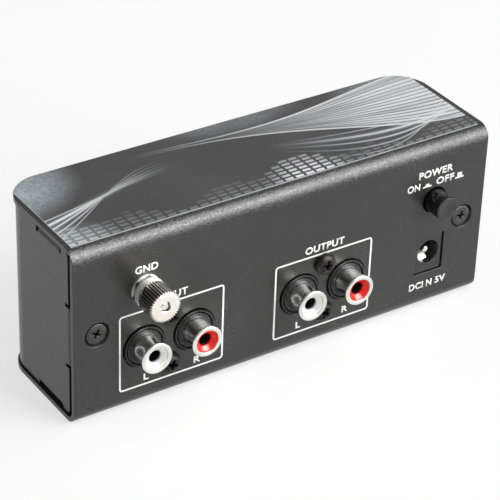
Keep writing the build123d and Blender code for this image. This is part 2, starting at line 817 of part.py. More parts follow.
dish_radius = (button_radius - button_edge_round) ** 2 / (2 * button_dish_depth)
with BuildPart() as power_button:
    with BuildSketch(behind_face(button_rear_depth)):
        with Locations((switch_x, switch_z)):
            Circle(button_radius)
    extrude(amount=button_rear_depth + button_reach)
    fillet(power_button.edges().filter_by(GeomType.CIRCLE).group_by(Axis.Y)[0], button_edge_round)
    with Locations((switch_x, -half_depth - button_reach - dish_radius + button_dish_depth, switch_z)):
        Sphere(dish_radius, mode=Mode.SUBTRACT)
    with BuildSketch(behind_face(button_rear_depth)):
        with Locations((switch_x, switch_z)):
            Rectangle(plunger_side + 2 * slide_clearance, plunger_side + 2 * slide_clearance)
    extrude(amount=plunger_socket_depth, mode=Mode.SUBTRACT)
save(power_button, "power_button")

# Return spring between the plunger's flange and the back of the switch.
spring_length = spring_rear - spring_front - 2 * spring_wire_radius
spring_start = (switch_x, -half_depth + spring_front + spring_wire_radius, switch_z)
with BuildPart() as switch_spring:
    with BuildLine() as spring_path:
        Helix(
            pitch=spring_length / spring_turns,
            height=spring_length,
            radius=spring_radius,
            center=spring_start,
            direction=(0, 1, 0),
        )
    with BuildSketch(Plane(origin=spring_path.line @ 0, z_dir=spring_path.line % 0)):
        Circle(spring_wire_radius)
    sweep(path=spring_path.line, is_frenet=True)
save(switch_spring, "switch_spring")

with BuildPart() as switch_pins:
    with BuildSketch(behind_face(pin_end)):
        with Locations(*switch_pin_spots):
            Rectangle(contact_pin, leaf_thickness)
    extrude(amount=pin_end - board_front)
save(switch_pins, "switch_pins")

# ---------------------------------------------------------------- dc inlet
with BuildPart() as inlet_body:
    with BuildSketch(behind_face(board_front)):
        with Locations((inlet_body_x, inlet_body_z)):
            RectangleRounded(inlet_body_width, inlet_body_height, 0.3)
    extrude(amount=board_front - inlet_face_recess)
    with BuildSketch(behind_face(inlet_bore_depth)):
        with Locations((inlet_x, inlet_z)):
            Circle(inlet_bore_radius)
    extrude(amount=inlet_bore_depth, mode=Mode.SUBTRACT)
    # The leaf's slot stops short of the front face.
    with BuildSketch(behind_face(inlet_bore_depth)):
        with Locations((inlet_x, inlet_z - inlet_bore_radius)):
            Rectangle(leaf_width + 2 * fit_clearance, 2 * leaf_slot_depth)
    extrude(amount=inlet_bore_depth - leaf_front_depth + 0.4, mode=Mode.SUBTRACT)
    with BuildSketch(behind_face(board_front)):
        with Locations((inlet_x, inlet_z)):
            Circle(inlet_pin_tail_radius + fit_clearance)
        with Locations((inlet_x, leaf_z)):
            Rectangle(contact_pin + 2 * fit_clearance, leaf_thickness + 2 * fit_clearance)
    extrude(amount=board_front - inlet_bore_depth, mode=Mode.SUBTRACT)
save(inlet_body, "inlet_body")

inlet_pin_front = inlet_face_recess + inlet_pin_recess
with BuildPart() as inlet_pin:
    with BuildSketch(behind_face(inlet_bore_depth)):
        with Locations((inlet_x, inlet_z)):
            Circle(inlet_pin_radius)
    extrude(amount=inlet_bore_depth - inlet_pin_front)
    fillet(inlet_pin.edges().filter_by(GeomType.CIRCLE).group_by(Axis.Y)[0], 0.7 * inlet_pin_radius)
    with BuildSketch(behind_face(pin_end)):
        with Locations((inlet_x, inlet_z)):
            Circle(inlet_pin_tail_radius)
    extrude(amount=pin_end - inlet_bore_depth)
save(inlet_pin, "inlet_pin")

with BuildPart() as inlet_leaf:
    with BuildSketch(behind_face(inlet_bore_depth)):
        with Locations((inlet_x, leaf_z)):
            Rectangle(leaf_width, leaf_thickness)
    extrude(amount=inlet_bore_depth - leaf_front_depth)
    with BuildSketch(behind_face(pin_end)):
        with Locations((inlet_x, leaf_z)):
            Rectangle(contact_pin, leaf_thickness)
    extrude(amount=pin_end - inlet_bore_depth)
save(inlet_leaf, "inlet_leaf")

# ----------------------------------------------------------- circuit board
with BuildPart() as circuit_board:
    with BuildSketch(behind_face(board_back)):
        with Locations((0, board_bottom + board_height / 2)):
            Rectangle(board_length, board_height)
        with Locations(*socket_spots, *tail_spots, *switch_pin_spots, *inlet_pin_spots):
            Circle(pin_hole_radius, mode=Mode.SUBTRACT)
        with Locations((wire_pad_x, wire_pad_z)):
            Circle(wire_radius + fit_clearance, mode=Mode.SUBTRACT)
        lead_spots = film_lead_spots + can_lead_spots + resistor_lead_spots + diode_lead_spots
        with Locations(*lead_spots, *amplifier_leg_spots):
            Circle(lead_hole_radius, mode=Mode.SUBTRACT)
    extrude(amount=board_thickness)
save(circuit_board, "circuit_board")

lead_front = board_front - pin_stickout
lead_front_y = -half_depth + lead_front

# Twin amplifier chip on eight legs.
with BuildPart() as amplifier_chip:
    with BuildSketch(behind_face(board_back + amplifier_standoff)):
        with Locations((amplifier_x, amplifier_z)):
            Rectangle(amplifier_length, amplifier_width)
    extrude(amount=-amplifier_height)
    shoulder_depth = board_back + amplifier_standoff + amplifier_height / 2
    with BuildSketch(behind_face(shoulder_depth)):
        with Locations(*amplifier_leg_spots):
            Rectangle(amplifier_leg_width, amplifier_leg_thickness)
    extrude(amount=shoulder_depth - lead_front)
    with BuildSketch(behind_face(shoulder_depth)):
        for index in range(4):
            with Locations((amplifier_x + (index - 1.5) * amplifier_leg_pitch, amplifier_z)):
                Rectangle(amplifier_leg_width, amplifier_leg_rows)
    extrude(amount=-amplifier_leg_thickness)
save(amplifier_chip, "amplifier_chip")

# Box-shaped film capacitors.
with BuildPart() as film_capacitors:
    with BuildSketch(behind_face(board_back)):
        with Locations(*[(x, film_z) for x in film_xs]):
            RectangleRounded(film_thickness, film_length, 0.3)
    extrude(amount=-film_height)
    with BuildSketch(behind_face(board_back)):
        with Locations(*film_lead_spots):
            Circle(lead_radius)
    extrude(amount=board_back - lead_front)
save(film_capacitors, "film_capacitors")

# Electrolytic cans with a rolled groove near the foot.
with BuildPart() as electrolytic_cans:
    with BuildSketch(behind_face(board_back)):
        with Locations(*can_spots):
            Circle(can_radius)
    extrude(amount=-can_height)
    fillet(electrolytic_cans.edges().filter_by(GeomType.CIRCLE).group_by(Axis.Y)[-1], 0.5)
    with BuildSketch(behind_face(board_back + can_groove_height)):
        with Locations(*can_spots):
            Circle(can_radius + can_groove_depth)
            Circle(can_radius - can_groove_depth, mode=Mode.SUBTRACT)
    extrude(amount=-2 * can_groove_depth, mode=Mode.SUBTRACT)
    with BuildSketch(behind_face(board_back)):
        with Locations(*can_lead_spots):
            Circle(lead_radius)
    extrude(amount=board_back - lead_front)
save(electrolytic_cans, "electrolytic_cans")


# Resistors and the supply diode lie along the board on bent leads.
axial_y = board_back - half_depth + resistor_standoff + resistor_radius
with BuildPart() as resistors:
    for x, z in resistor_spots:
        with BuildLine():
            FilletPolyline(
                (x - resistor_lead_pitch / 2, lead_front_y, z),
                (x - resistor_lead_pitch / 2, axial_y, z),
                (x + resistor_lead_pitch / 2, axial_y, z),
                (x + resistor_lead_pitch / 2, lead_front_y, z),
                radius=lead_bend_radius,
            )
        with BuildSketch(behind_face(lead_front)):
            with Locations((x - resistor_lead_pitch / 2, z)):
                Circle(lead_radius)
        sweep()
        with BuildSketch(Plane(origin=(x - resistor_length / 2, axial_y, z), z_dir=(1, 0, 0))):
            Circle(resistor_radius)
        extrude(amount=resistor_length)
save(resistors, "resistors")

diode_y = board_back - half_depth + resistor_standoff + diode_radius
with BuildPart() as supply_diode:
    with BuildLine():
        FilletPolyline(
            (diode_x, lead_front_y, diode_z - diode_lead_pitch / 2),
            (diode_x, diode_y, diode_z - diode_lead_pitch / 2),
            (diode_x, diode_y, diode_z + diode_lead_pitch / 2),
            (diode_x, lead_front_y, diode_z + diode_lead_pitch / 2),
            radius=lead_bend_radius,
        )
    with BuildSketch(behind_face(lead_front)):
        with Locations((diode_x, diode_z - diode_lead_pitch / 2)):
            Circle(lead_radius)
    sweep()
    with BuildSketch(Plane.XY.offset(diode_z - diode_length / 2)):
        with Locations((diode_x, diode_y)):
            Circle(diode_radius)
    extrude(amount=diode_length)
save(supply_diode, "supply_diode")
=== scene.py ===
"""Looks of a small phono preamp in a folded steel case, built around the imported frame.

Sizes are in millimetres and become metres where a mesh is made; depths and widths
inside a finish are in metres. The connector panel faces -Y, its outer face lies at
PANEL_Y, and "proud" is the distance in front of that face.
"""

import json
import logging
import math
from collections.abc import Callable, Iterator
from contextlib import contextmanager
from dataclasses import dataclass, field
from enum import Enum
from functools import cached_property

import bpy
from mathutils import Matrix, Vector

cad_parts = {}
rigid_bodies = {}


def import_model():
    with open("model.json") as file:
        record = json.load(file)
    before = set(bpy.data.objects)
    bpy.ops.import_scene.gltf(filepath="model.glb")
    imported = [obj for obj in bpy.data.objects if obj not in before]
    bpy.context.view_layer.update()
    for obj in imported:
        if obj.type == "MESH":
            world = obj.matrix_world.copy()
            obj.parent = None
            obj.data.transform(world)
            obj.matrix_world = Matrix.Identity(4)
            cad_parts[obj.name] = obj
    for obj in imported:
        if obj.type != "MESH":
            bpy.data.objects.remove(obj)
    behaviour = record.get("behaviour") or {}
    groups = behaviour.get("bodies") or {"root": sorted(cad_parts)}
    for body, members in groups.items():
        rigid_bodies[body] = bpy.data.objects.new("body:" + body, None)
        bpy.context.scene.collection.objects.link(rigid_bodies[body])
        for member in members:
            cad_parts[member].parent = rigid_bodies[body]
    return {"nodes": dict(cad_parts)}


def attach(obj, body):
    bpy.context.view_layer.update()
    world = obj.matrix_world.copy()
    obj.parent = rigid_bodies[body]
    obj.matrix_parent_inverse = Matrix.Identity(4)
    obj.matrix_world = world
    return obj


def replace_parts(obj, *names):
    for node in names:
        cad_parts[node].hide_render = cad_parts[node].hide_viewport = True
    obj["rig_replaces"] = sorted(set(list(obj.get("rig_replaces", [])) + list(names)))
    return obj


MM = 0.001
PANEL_Y = -17.75
CASE_HEIGHT = 48.6
# Points this near, in metres, are merged.
MERGE_DISTANCE = 0.000001
# A point is on a plane when it is this near it, in millimetres.
NEAR = 0.01

Piece = bpy.types.Object
Material = bpy.types.Material
NodeTree = bpy.types.NodeTree
Socket = bpy.types.NodeSocket
Value = float | Socket
Colour = tuple[float, float, float]
Paint = float | Socket | Colour
Ring = tuple[float, float]
Place = tuple[float, float]
Box = tuple[float, float, float, float]

log = logging.getLogger("preamp")


class Body(Enum):
    """The moving and fixed bodies that a piece can ride on."""

    CASE = "case"
    BUTTON = "button"
    LOOSE_WASHER = "loose_washer"
    THUMB_NUT = "thumb_nut"


class Slot(Enum):
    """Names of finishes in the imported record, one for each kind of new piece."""

    BLACK_SCREW = "black_screw"
    NICKEL = "nickel"
    WHITE_INSERT = "white_insert"
    RED_INSERT = "red_insert"
    TINNED_METAL = "tinned_metal"
    BUTTON_CAP = "button_cap"


def grey(level: float) -> Colour:
    """An even grey."""
    return (level, level, level)


def scaled(colour: Colour, factor: float) -> Colour:
    """A colour made lighter or darker."""
    return tuple(min(1.0, factor * part) for part in colour)


# --------------------------------------------------------------- node trees
class Graph:
    """A shader node tree being built, with one short method per kind of node."""

    def __init__(self, tree: NodeTree) -> None:
        """Wrap a node tree."""
        self.tree = tree

    def node(self, kind: str, **settings: object) -> bpy.types.Node:
        """Add a node.

        Args:
            kind: Blender's name for the node's type.
            settings: Properties to set on it.

        Returns:
            The new node.
        """
        made = self.tree.nodes.new(kind)
        for name, value in settings.items():
            setattr(made, name, value)
        return made

    def feed(self, socket: Socket, value: Paint) -> None:
        """Link a socket to another, or give it a constant.

        Args:
            socket: The input to feed.
            value: A socket to link, a number, or a colour or vector.
        """
        if isinstance(value, Socket):
            self.tree.links.new(value, socket)
        elif isinstance(value, tuple) and socket.type == "RGBA":
            socket.default_value = (*value, 1.0)
        else:
            socket.default_value = value

    def result(self, kind: str, *values: Paint, **settings: object) -> Socket:
        """Add a node and feed its inputs in order.

        Args:
            kind: Blender's name for the node's type.
            values: What its first inputs get.
            settings: Properties to set on it.

        Returns:
            Its first output.
        """
        made = self.node(kind, **settings)
        for socket, value in zip(made.inputs, values):
            self.feed(socket, value)
        return made.outputs[0]

    def math(self, operation: str, first: Value, second: Value = 0.0, third: Value = 0.0) -> Socket:
        """Combine up to three numbers by one of the Math node's operations."""
        return self.result("ShaderNodeMath", first, second, third, operation=operation)

    def add(self, first: Value, second: Value) -> Socket:
        """Sum of two numbers."""
        return self.math("ADD", first, second)

    def subtract(self, first: Value, second: Value) -> Socket:
        """Difference of two numbers."""
        return self.math("SUBTRACT", first, second)

    def times(self, first: Value, second: Value) -> Socket:
        """Product of two numbers."""
        return self.math("MULTIPLY", first, second)

    def divide(self, first: Value, second: Value) -> Socket:
        """Quotient of two numbers."""
        return self.math("DIVIDE", first, second)

    def most(self, first: Value, second: Value) -> Socket:
        """Larger of two numbers."""
        return self.math("MAXIMUM", first, second)

    def distance_to(self, value: Value, middle: Value) -> Socket:
        """How far a number is from a middle value."""
        return self.math("ABSOLUTE", self.subtract(value, middle))

    def reach(self, x: Value, y: Value) -> Socket:
        """How far a point is from the middle of its plane."""
        return self.math("SQRT", self.add(self.times(x, x), self.times(y, y)))

    def fade(self, value: Value, start: float, end: float, low: float = 0.0, high: float = 1.0) -> Socket:
        """Run smoothly from low, where the value is at start, to high, where it is at end."""
        smooth = {"interpolation_type": "SMOOTHSTEP"}
        return self.result("ShaderNodeMapRange", value, start, end, low, high, **smooth)

    def place(self) -> Socket:
        """The point on the piece, in metres in the shared frame."""
        return self.node("ShaderNodeTexCoord").outputs["Object"]

    def stretched(self, scale: Colour) -> Socket:
        """The point on the piece, with each axis scaled."""
        return self.result("ShaderNodeMapping", self.place(), (0, 0, 0), (0, 0, 0), scale)

    def split(self, vector: Socket) -> list[Socket]:
        """The three parts of a vector."""
        return list(self.result("ShaderNodeSeparateXYZ", vector).node.outputs)

    def place_mm(self) -> list[Socket]:
        """The point on the piece in millimetres, as x, y and z."""
        return self.split(self.stretched(grey(1 / MM)))

    def noise(
        self,
        vector: Socket,
        scale: Value,
        detail: float = 2.0,
        roughness: float = 0.5,
        distortion: float = 0.0,
    ) -> Socket:
        """Soft noise from 0 to 1.

        Args:
            vector: Where it is read.
            scale: Cells per metre.
            detail: Number of finer layers.
            roughness: Strength of the finer layers.
            distortion: How far the pattern is warped.

        Returns:
            The noise value.
        """
        made = self.node("ShaderNodeTexNoise")
        names = ("Vector", "Scale", "Detail", "Roughness", "Distortion")
        for name, value in zip(names, (vector, scale, detail, roughness, distortion)):
            self.feed(made.inputs[name], value)
        return made.outputs[0]

    def mixed(self, kind: str, first_input: int, share: Value, first: Paint, second: Paint) -> Socket:
        """Add a Mix node.

        Args:
            kind: RGBA or FLOAT.
            first_input: Index of the first input of that kind.
            share: 0 gives the first value and 1 the second.
            first: First colour or number.
            second: Second colour or number.

        Returns:
            The mixed colour or number.
        """
        made = self.node("ShaderNodeMix", data_type=kind)
        for index, value in zip((0, first_input, first_input + 1), (share, first, second)):
            self.feed(made.inputs[index], value)
        return next(output for output in made.outputs if output.enabled)

    def blend(self, share: Value, first: Paint, second: Paint) -> Socket:
        """A colour between two others."""
        return self.mixed("RGBA", 6, share, first, second)

    def between(self, share: Value, first: Value, second: Value) -> Socket:
        """A number between two others."""
        return self.mixed("FLOAT", 2, share, first, second)

    def bump(
        self, height: Socket, depth: float, strength: float = 1.0, normal: Socket | None = None
    ) -> Socket:
        """A normal bent by a height.

        Args:
            height: The height, from 0 to 1.
            depth: Metres that a height of 1 stands for.
            strength: Share of the effect.
            normal: A normal to bend further.

        Returns:
            The bent normal.
        """
        made = self.node("ShaderNodeBump")
        values = {"Strength": strength, "Distance": depth, "Height": height, "Normal": normal}
        for name, value in values.items():
            if value is not None:
                self.feed(made.inputs[name], value)
        return made.outputs[0]

    def group(self, shared: NodeTree, **values: Value) -> list[Socket]:
        """Place a shared group in this tree.

        Args:
            shared: The group.
            values: Its inputs.

        Returns:
            Its outputs.
        """
        made = self.node("ShaderNodeGroup", node_tree=shared)
        for name, value in values.items():
            self.feed(made.inputs[name], value)
        return list(made.outputs)


class Surface(Graph):
    """The tree of a new material that holds one Principled shader."""

    def __init__(self, name: str) -> None:
        """Make the material.

        Args:
            name: The material's name.
        """
        self.material = bpy.data.materials.new(name)
        self.material.use_nodes = True
        super().__init__(self.material.node_tree)
        self.tree.nodes.clear()
        self.shader = self.node("ShaderNodeBsdfPrincipled")
        self.feed(self.node("ShaderNodeOutputMaterial").inputs["Surface"], self.shader.outputs[0])

    def finish(
        self, colour: Paint, rough: Value, normal: Socket, metal: Value = 0.0, sheen: float = 0.5
    ) -> Material:
        """Feed the shader and hand over the material.

        Args:
            colour: Base colour.
            rough: Roughness.
            normal: The bent normal.
            metal: Share of bare metal.
            sheen: Level of the shine that isn't metal's.

        Returns:
            The material.
        """
        values = {"Base Color": colour, "Roughness": rough, "Normal": normal, "Metallic": metal}
        for name, value in (values | {"Specular IOR Level": sheen}).items():
            self.feed(self.shader.inputs[name], value)
        return self.material


def new_group(name: str, outputs: tuple[str, ...], **inputs: float) -> tuple[Graph, dict, dict]:
    """Start a shared node group.

    Args:
        name: The group's name.
        outputs: Its number outputs.
        inputs: Its number inputs and their defaults.

    Returns:
        A graph over the group, its inputs' sockets by name, and its outputs' sockets by name.
    """
    graph = Graph(bpy.data.node_groups.new(name, "ShaderNodeTree"))
    for label, default in inputs.items():
        made = graph.tree.interface.new_socket(name=label, in_out="INPUT", socket_type="NodeSocketFloat")
        made.default_value = default
    for label in outputs:
        graph.tree.interface.new_socket(name=label, in_out="OUTPUT", socket_type="NodeSocketFloat")
    given, wanted = graph.node("NodeGroupInput").outputs, graph.node("NodeGroupOutput").inputs
    return graph, dict(given.items()), dict(wanted.items())


class SharedEffects:
    """Node groups that several finishes use, each built once, when it is first needed."""

    @cached_property
    def edge_wear(self) -> NodeTree:
        """Mask that is 1 on outer edges, broken up by noise.

        Returns:
            The group.
        """
        graph, given, wanted = new_group("edge_wear", ("Mask",), Width=0.0002, Amount=1.0, Breakup=900.0)
        rounded = graph.result("ShaderNodeBevel", given["Width"], samples=4)
        product = graph.node("ShaderNodeVectorMath", operation="DOT_PRODUCT")
        graph.feed(product.inputs[0], rounded)
        graph.feed(product.inputs[1], graph.node("ShaderNodeNewGeometry").outputs["Normal"])
        turned = graph.fade(product.outputs["Value"], 0.995, 0.8)
        patches = graph.fade(graph.noise(graph.place(), given["Breakup"], 3.0, 0.6), 0.35, 0.7)
        graph.feed(wanted["Mask"], graph.times(graph.times(turned, patches), given["Amount"]))
        return graph.tree

    @cached_property
    def texture_coat(self) -> NodeTree:
        """Fine pebbled height and slow tone change of a sprayed or moulded surface.

        Returns:
            The group.
        """
        graph, given, wanted = new_group("texture_coat", ("Height", "Tone"), Grain=2500.0, Drift=60.0)
        place = graph.place()
        pebbles = graph.noise(place, given["Grain"], 2.0, 0.55)
        coarse = graph.noise(place, graph.times(given["Grain"], 0.35), 1.0, 0.5)
        graph.feed(wanted["Height"], graph.add(graph.times(pebbles, 0.8), graph.times(coarse, 0.2)))
        graph.feed(wanted["Tone"], graph.noise(place, given["Drift"], 4.0, 0.6))
        return graph.tree

    @cached_property
    def handling(self) -> NodeTree:
        """Smudges and fine dust that dull a smooth surface in patches.

        Returns:
            The group.
        """
        graph, given, wanted = new_group("handling", ("Smudge", "Dust"), Patch=120.0, Speck=1800.0)
        place = graph.place()
        smudge = graph.noise(place, given["Patch"], 4.0, 0.65, 0.6)
        graph.feed(wanted["Smudge"], graph.fade(smudge, 0.4, 0.75))
        graph.feed(wanted["Dust"], graph.fade(graph.noise(place, given["Speck"], 2.0, 0.6), 0.66, 0.78))
        return graph.tree


EFFECTS = SharedEffects()


# ------------------------------------------------------------------ finishes
@dataclass(frozen=True)
class PowderCoat:
    """Charcoal powder coat with a fine pebbled skin, which shows most on the top front bend."""

    colour: Colour = (0.022, 0.022, 0.0215)
    # Colour of the painted glints on the pebbles' tops.
    painted_glint: Colour = (0.06, 0.06, 0.059)
    worn: Colour = (0.10, 0.10, 0.097)
    dust: Colour = (0.35, 0.35, 0.34)
    roughness: float = 0.20
    pebble_depth: float = 0.00006
    bend_pebble: float = 1.9
    speck_scale: float = 2300.0
    speck_rough: float = 0.13
    edge_round: float = 0.00028

    def make(self) -> Material:
        """Build the material.

        Returns:
            The material.
        """
        graph = Surface("charcoal_powder_coat")
        height, tone = graph.group(EFFECTS.texture_coat, Grain=2600.0, Drift=45.0)
        (wear,) = graph.group(EFFECTS.edge_wear, Width=0.00022, Amount=0.55, Breakup=700.0)
        smudge, dust = graph.group(EFFECTS.handling, Patch=90.0, Speck=1500.0)
        colour = graph.blend(graph.fade(tone, 0.3, 0.7), scaled(self.colour, 0.88), scaled(self.colour, 1.12))
        # Painted highlight: the tops of the pebbles are coloured lighter, as small glints.
        painted_glint = graph.fade(height, 0.5, 0.72)
        for mask, share, over in ((painted_glint, 0.12, self.painted_glint), (wear, 0.5, self.worn), (dust, 0.04, self.dust)):
            colour = graph.blend(graph.times(mask, share), colour, over)
        _, y, z = graph.place_mm()
        near_top = graph.fade(z, CASE_HEIGHT - 6.0, CASE_HEIGHT - 3.0)
        on_bend = graph.times(near_top, graph.fade(y, -13.0, -14.0))
        specks = graph.fade(graph.noise(graph.place(), self.speck_scale, 2.0, 0.6), 0.44, 0.60)
        specks = graph.times(graph.between(on_bend, 0.35, 1.0), specks)
        rough = graph.between(smudge, self.roughness, self.roughness + 0.05)
        rough = graph.subtract(rough, graph.times(painted_glint, 0.06))
        rough = graph.add(rough, graph.times(specks, self.speck_rough))
        rounded = graph.result("ShaderNodeBevel", self.edge_round, samples=6)
        height = graph.times(height, graph.between(on_bend, 1.0, self.bend_pebble))
        return graph.finish(colour, rough, graph.bump(height, self.pebble_depth, normal=rounded))


@dataclass(frozen=True)
class WhiteInk:
    """Screen-printed white ink, a little thin in places."""

    colour: Colour = (0.92, 0.92, 0.91)
    thin: Colour = (0.80, 0.80, 0.79)

    def make(self) -> Material:
        """Build the material.

        Returns:
            The material.
        """
        graph = Surface("white_legend_ink")
        height, tone = graph.group(EFFECTS.texture_coat, Grain=3600.0, Drift=500.0)
        colour = graph.blend(graph.fade(tone, 0.5, 0.75, 0.0, 0.7), self.colour, self.thin)
        return graph.finish(colour, graph.between(tone, 0.45, 0.6), graph.bump(height, 0.000012))


@dataclass(frozen=True)
class Plating:
    """Bright plated metal with fine turning lines across the panel's axis."""

    name: str = "nickel_plate"
    colour: Colour = (0.80, 0.78, 0.74)
    tarnish: Colour = (0.62, 0.59, 0.53)
    roughness: float = 0.13
    dust: Colour = (0.35, 0.33, 0.30)
    line_scale: float = 6000.0
    line_depth: float = 0.0000006

    def lines(self, graph: Graph) -> Socket:
        """Height of the turning lines."""
        return graph.noise(graph.stretched((0.03, 1.0, 0.03)), self.line_scale, 2.0)

    def make(self) -> Material:
        """Build the material.

        Returns:
            The material.
        """
        graph = Surface(self.name)
        smudge, dust = graph.group(EFFECTS.handling, Patch=420.0, Speck=5000.0)
        lines = self.lines(graph)
        drift = graph.fade(graph.noise(graph.place(), 260.0, 3.0), 0.42, 0.72, 0.0, 0.55)
        colour = graph.blend(drift, self.colour, self.tarnish)
        colour = graph.blend(graph.times(dust, 0.15), colour, self.dust)
        rough = graph.between(smudge, self.roughness, self.roughness + 0.06)
        rough = graph.add(rough, graph.times(lines, 0.04))
        return graph.finish(colour, rough, graph.bump(lines, self.line_depth), metal=1.0)


@dataclass(frozen=True)
class KnurledPlating(Plating):
    """Warm nickel on a knurled nut: bright crests and face, with painted shade in the valleys of its side."""

    name: str = "knurled_nickel_plate"
    colour: Colour = (0.92, 0.87, 0.81)
    tarnish: Colour = (0.80, 0.73, 0.66)
    roughness: float = 0.16
    # Colour of the painted shade in the knurl's valleys.
    painted_valley_shade: Colour = (0.045, 0.036, 0.031)
    centre: Place = (-40.8, 33.2)
    crest: float = 4.12
    face_y: float = PANEL_Y - 9.35

    def make(self) -> Material:
        """Build the material.

        Returns:
            The material.
        """
        graph = Surface(self.name)
        smudge, _ = graph.group(EFFECTS.handling, Patch=420.0, Speck=5000.0)
        x, y, z = graph.place_mm()
        radius = graph.reach(graph.subtract(x, self.centre[0]), graph.subtract(z, self.centre[1]))
        drift = graph.fade(graph.noise(graph.place(), 900.0, 3.0), 0.35, 0.7)
        colour = graph.blend(graph.times(drift, 0.6), self.colour, self.tarnish)
        # Painted shade: the valleys of the knurl's side, behind its face, are coloured near black.
        in_valley = graph.fade(radius, self.crest - 0.06, self.crest - 0.17)
        on_side = graph.fade(radius, self.crest - 0.75, self.crest - 0.6)
        behind_face = graph.fade(y, self.face_y - 0.12, self.face_y)
        dark = graph.times(graph.times(in_valley, on_side), behind_face)
        colour = graph.blend(dark, colour, self.painted_valley_shade)
        rough = graph.between(smudge, self.roughness, self.roughness + 0.08)
        rough = graph.add(rough, graph.times(dark, 0.2))
        return graph.finish(colour, rough, graph.bump(self.lines(graph), self.line_depth), metal=1.0)


@dataclass(frozen=True)
class Moulding:
    """Moulded plastic: a fine skin, faint flow marks and rubbed edges.

    Between two depths given by its fields, its colour fades to a darker colour: this is painted shade,
    further into a socket's bore or on a cap's side behind its face.
    """

    name: str
    colour: Colour
    roughness: float = 0.42
    grain_depth: float = 0.000006
    edge: Colour | None = None
    # Depths and colour of the painted shade further in.
    painted_shade_from: float | None = None
    painted_shade_to: float = 0.0
    painted_shade: Colour = grey(0.01)
    dust: Colour = (0.4, 0.39, 0.37)
    sheen: float = 0.5

    def make(self) -> Material:
        """Build the material.

        Returns:
            The material.
        """
        graph = Surface(self.name)
        height, tone = graph.group(EFFECTS.texture_coat, Grain=3000.0, Drift=180.0)
        smudge, dust = graph.group(EFFECTS.handling, Patch=300.0, Speck=4200.0)
        colour = graph.blend(graph.fade(tone, 0.3, 0.7), scaled(self.colour, 0.90), scaled(self.colour, 1.07))
        if self.edge is not None:
            (wear,) = graph.group(EFFECTS.edge_wear, Width=0.00015, Amount=0.6, Breakup=1500.0)
            colour = graph.blend(wear, colour, self.edge)
        # Painted shade: the colour darkens further back from the front.
        if self.painted_shade_from is not None:
            painted_shade_mask = graph.fade(graph.place_mm()[1], self.painted_shade_from, self.painted_shade_to)
            colour = graph.blend(painted_shade_mask, colour, self.painted_shade)
        colour = graph.blend(graph.times(dust, 0.08), colour, self.dust)
        rough = graph.between(smudge, self.roughness, self.roughness + 0.1)
        return graph.finish(colour, rough, graph.bump(height, self.grain_depth), sheen=self.sheen)


@dataclass(frozen=True)
class BlackenedSteel:
    """Screws in blackened steel, brighter where a driver has rubbed, with painted shade in their recesses."""

    name: str
    colour: Colour
    bare: Colour
    metal: float
    sheen: float
    recesses: tuple[Place, ...]
    recess_radius: float
    recess_y: float
    roughness: float = 0.24

    def recess_shade(self, graph: Graph) -> Socket:
        """Mask of the inside of the driver recesses, where shade is painted.

        Args:
            graph: The material's tree.

        Returns:
            The mask.
        """
        x, y, z = graph.place_mm()
        nearest: Value = 99.0
        for middle_x, middle_z in self.recesses:
            away = graph.reach(graph.subtract(x, middle_x), graph.subtract(z, middle_z))
            nearest = graph.math("MINIMUM", nearest, away)
        inside = graph.fade(nearest, self.recess_radius + 0.05, self.recess_radius)
        return graph.times(inside, graph.fade(y, self.recess_y, self.recess_y + 0.15))

    def make(self) -> Material:
        """Build the material.

        Returns:
            The material.
        """
        graph = Surface(self.name)
        height, tone = graph.group(EFFECTS.texture_coat, Grain=4200.0, Drift=700.0)
        (wear,) = graph.group(EFFECTS.edge_wear, Width=0.00012, Amount=0.8, Breakup=2200.0)
        tone = graph.fade(tone, 0.35, 0.7)
        recess_shade = self.recess_shade(graph)
        colour = graph.blend(tone, scaled(self.colour, 0.75), self.colour)
        colour = graph.blend(wear, colour, self.bare)
        # Painted shade: the recesses are coloured near black and made fully rough.
        colour = graph.blend(recess_shade, colour, grey(0.001))
        rough = graph.between(recess_shade, graph.between(tone, self.roughness, self.roughness + 0.12), 0.95)
        metal = graph.between(recess_shade, self.metal, 1.0)
        return graph.finish(colour, rough, graph.bump(height, 0.000008), metal, self.sheen)


